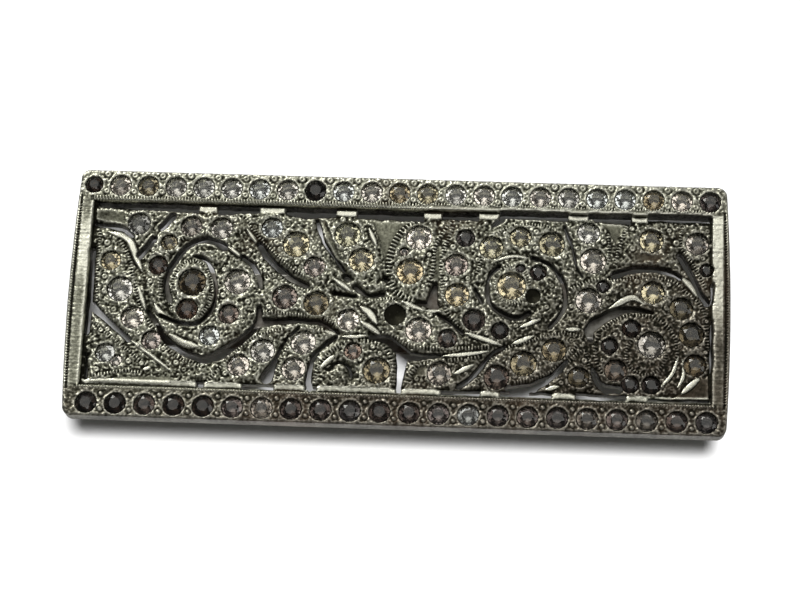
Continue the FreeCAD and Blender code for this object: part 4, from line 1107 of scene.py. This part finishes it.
def stone_colour(name, density_colour, metallic_colour):
    """The glass of one colour and the foil behind it."""
    glass = bpy.data.materials.new(name)
    glass.use_nodes = True
    tree = glass.node_tree
    shader = tree.nodes["Principled BSDF"]
    tint = add_node(tree, "ShaderNodeAttribute", attribute_name="tint").outputs["Color"]
    where = add_node(tree, "ShaderNodeTexCoord").outputs["Object"]
    haze = add_node(tree, "ShaderNodeMapRange", (
        ("Value", noise(tree, where, 1200.0)), ("From Min", 0.4), ("From Max", 0.75),
        ("To Max", 0.06))).outputs[0]
    body = colour_mix(tree, haze, density_colour, (0.6, 0.57, 0.5, 1))
    body = add_node(tree, "ShaderNodeMix", ((0, 1.0), (6, body), (7, tint)),
                    data_type="RGBA", blend_type="MULTIPLY").outputs[2]
    tree.links.new(body, shader.inputs["Base Color"])
    shader.inputs["Transmission Weight"].default_value = 1.0
    shader.inputs["IOR"].default_value = 1.56
    rough = add_node(tree, "ShaderNodeMapRange", (
        ("Value", noise(tree, where, 2600.0)), ("From Min", 0.35), ("From Max", 0.8),
        ("To Min", 0.0), ("To Max", 0.03))).outputs[0]
    tree.links.new(rough, shader.inputs["Roughness"])

    foil = bpy.data.materials.new(name + "_foil")
    foil.use_nodes = True
    tree = foil.node_tree
    shader = tree.nodes["Principled BSDF"]
    tint = add_node(tree, "ShaderNodeAttribute", attribute_name="tint").outputs
    where = add_node(tree, "ShaderNodeTexCoord").outputs["Object"]
    decay = add_node(tree, "ShaderNodeAttribute", attribute_name="decay").outputs["Fac"]
    spots = maths(tree, "ADD", noise(tree, where, 700.0, 2.0), maths(tree, "MULTIPLY", decay, 0.5))
    gone = add_node(tree, "ShaderNodeMapRange", (
        ("Value", spots), ("From Min", 0.62), ("From Max", 0.95))).outputs[0]
    backing = colour_mix(tree, gone, metallic_colour, (0.035, 0.022, 0.018, 1))
    backing = add_node(tree, "ShaderNodeMix", ((0, 1.0), (6, backing), (7, tint["Color"])),
                       data_type="RGBA", blend_type="MULTIPLY").outputs[2]
    tree.links.new(backing, shader.inputs["Base Color"])
    shader.inputs["Metallic"].default_value = 1.0
    tree.links.new(maths(tree, "MULTIPLY_ADD", gone, 0.4, 0.05), shader.inputs["Roughness"])
    return glass, foil


# Which colour each stone of the two rows has: c clear, a amber, s smoky.
upper_colours, lower_colours = "scacccccsccaacccccccacs", "sssssscsssssscssscscss"
# How bright each stone's glass and foil are drawn, group by group: b bright, p plain,
# d dull, k dark.  Partly the state of its foil, partly painted light: the lower row is
# mostly dark as painted shade, its few bright stones carry painted glints, and the upper
# row is mostly bright as a painted highlight.
foil_and_light_levels = {"b": 1.0, "p": 0.93, "d": 0.78, "k": 0.52}
upper_row_lit_foils, lower_row_lit_foils = "kpdbpbbbkbbppbbbbbbbdpd", "kkdkkbddddddbdppdkbkdd"
panel_lit_foils = {
    "left_clear_stones": "ddpbbppbpppp", "left_amber_stones": "pdkb",
    "left_rose_stones": "kpkdd", "centre_clear_stones": "bdbpppd",
    "centre_amber_stones": "bbppppdbddd", "centre_rose_stones": "ppkdk",
    "centre_smoky_stones": "ddkdk", "right_clear_stones": "bbdpdk",
    "right_amber_stones": "ppkkkdk", "right_smoky_stones": "kdkkkk",
}
colour_names = {"c": "clear", "a": "amber", "s": "smoky"}
finishes = {
    "clear": stone_colour("crystal_glass", (0.99, 0.99, 0.97, 1), (0.96, 0.95, 0.93, 1)),
    "amber": stone_colour("yellowed_glass", (0.97, 0.955, 0.87, 1), (0.9, 0.86, 0.74, 1)),
    "rose": stone_colour("rose_glass", (0.97, 0.93, 0.91, 1), (0.82, 0.76, 0.72, 1)),
    "smoky": stone_colour("smoky_glass", (0.7, 0.68, 0.68, 1), (0.44, 0.41, 0.4, 1)),
}
stone_groups = {}
for side, row, colours, lit_and_foiled in (
        ("top_row", upper_row, upper_colours, upper_row_lit_foils),
        ("bottom_row", lower_row, lower_colours, lower_row_lit_foils)):
    for place, letter, state in zip(row, colours, lit_and_foiled):
        group_name = f"{side}_{colour_names[letter]}_stones"
        stone_groups.setdefault(group_name, []).append((*place, rim_z, foil_and_light_levels[state]))
for group_name, places in panel_stones.items():
    stone_groups[group_name] = [(*place, panel_z, foil_and_light_levels[state]) for place, state in
                                zip(places, panel_lit_foils[group_name])]

for group_name, places in stone_groups.items():
    colour = group_name.split("_")[-2]
    points, faces, tints = [], [], []
    for x, y, width, surface_z, lit_and_foiled in places:
        # The stone's glass and foil are darkened by this share: partly its foil's decay, partly
        # painted shade and painted glints.  Darker stones are also drawn browner, with more of their
        # foil gone.
        shade = lit_and_foiled * dice.uniform(0.88, 1.0)
        warm = dice.uniform(-0.03, 0.03) + 0.09 * (1 - lit_and_foiled)
        tint = (shade + 0.6 * warm, shade - 0.2 * warm, shade - 0.8 * warm,
                dice.uniform(0.0, 0.2) + 0.35 * (1 - lit_and_foiled))
        chaton(points, faces, tints, x, y, width, surface_z, tint, dice.uniform(0, 0.8))
    mesh = bpy.data.meshes.new(group_name)
    mesh.from_pydata((np.array(points) * MM).tolist(), [], faces)
    glass, foil = finishes[colour]
    mesh.materials.append(glass)
    mesh.materials.append(foil)
    mesh.attributes.new("tint", "FLOAT_COLOR", "FACE")
    mesh.attributes.new("decay", "FLOAT", "FACE")
    shares = np.array(tints)
    mesh.attributes["tint"].data.foreach_set(
        "color", np.column_stack([shares[:, :3], np.ones(len(shares))]).ravel())
    mesh.attributes["decay"].data.foreach_set("value", shares[:, 3].copy())
    for face in mesh.polygons:
        face.material_index = 1 if face.normal.z < -0.1 else 0
    piece = bpy.data.objects.new("cut_" + group_name, mesh)
    bpy.context.scene.collection.objects.link(piece)
    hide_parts(group_name)
    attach(piece, "barrette")

# ---- The clip ------------------------------------------------------------------------
# A sprung steel clip, riveted on behind: base bar, bow, arm, hinge pin and catch.  The
# steel is rolled and plated, dulled with age and freckled with rust.


def steel(name, clean, worn, roughness, rust, brushed):
    """A plated finish; brushed is how fine its lines are along x, y and z."""
    finish = bpy.data.materials.new(name)
    finish.use_nodes = True
    tree = finish.node_tree
    shader = tree.nodes["Principled BSDF"]
    where = add_node(tree, "ShaderNodeTexCoord").outputs["Object"]
    bevel = add_node(tree, "ShaderNodeBevel", (("Radius", 0.00025),), samples=6)
    facing = add_node(tree, "ShaderNodeNewGeometry").outputs["Normal"]
    bend = add_node(tree, "ShaderNodeVectorMath", ((0, bevel.outputs[0]), (1, facing)),
                    operation="DOT_PRODUCT").outputs["Value"]
    worn_edge = maths(tree, "MULTIPLY", maths(tree, "SUBTRACT", 1.0, bend), 5.0)
    aged = add_node(tree, "ShaderNodeGroup", (
        ("Place", where), ("Crest", worn_edge), ("Clean Color", clean), ("Worn Color", worn),
        ("Tarnish Color", (0.09, 0.08, 0.065, 1)), ("Tarnish", 0.18),
        ("Stain Color", (0.16, 0.06, 0.02, 1)), ("Stain", rust), ("Mottle Scale", 700.0)),
        node_tree=ageing)
    tree.links.new(aged.outputs["Color"], shader.inputs["Base Color"])
    shader.inputs["Metallic"].default_value = 1.0
    shine = add_node(tree, "ShaderNodeMapRange", (
        ("Value", aged.outputs["Dull"]), ("To Min", roughness), ("To Max", roughness + 0.3)))
    tree.links.new(shine.outputs[0], shader.inputs["Roughness"])
    stretch = add_node(tree, "ShaderNodeMapping", (("Vector", where), ("Scale", brushed)))
    lines = noise(tree, stretch.outputs[0], 1.0, 3.0)
    relief = add_node(tree, "ShaderNodeBump", (
        ("Height", maths(tree, "ADD", lines, aged.outputs["Grit"])),
        ("Distance", 0.00002), ("Strength", 0.5)))
    tree.links.new(relief.outputs[0], shader.inputs["Normal"])
    return finish


spring_finish = steel("spring_steel_plated", (0.5, 0.49, 0.46, 1), (0.78, 0.76, 0.7, 1), 0.26,
                      0.5, (300, 9000, 9000))
pin_finish = steel("pin_steel_drawn", (0.42, 0.41, 0.39, 1), (0.7, 0.68, 0.62, 1), 0.3, 0.7,
                   (6000, 700, 6000))
clip_finishes = {
    "clip_base": spring_finish, "clasp_arm": spring_finish, "tension_bow": spring_finish,
    "catch_saddle": spring_finish, "catch_wing_upper": spring_finish,
    "catch_wing_lower": spring_finish, "hinge_pin": pin_finish, "catch_rivet": pin_finish,
    "clip_rivets": pin_finish,
}
for node_name, finish in clip_finishes.items():
    node = frame["nodes"][node_name]
    for holder in [node, *node.children_recursive]:
        if holder.type == "MESH":
            for slot in holder.material_slots:
                slot.material = finish
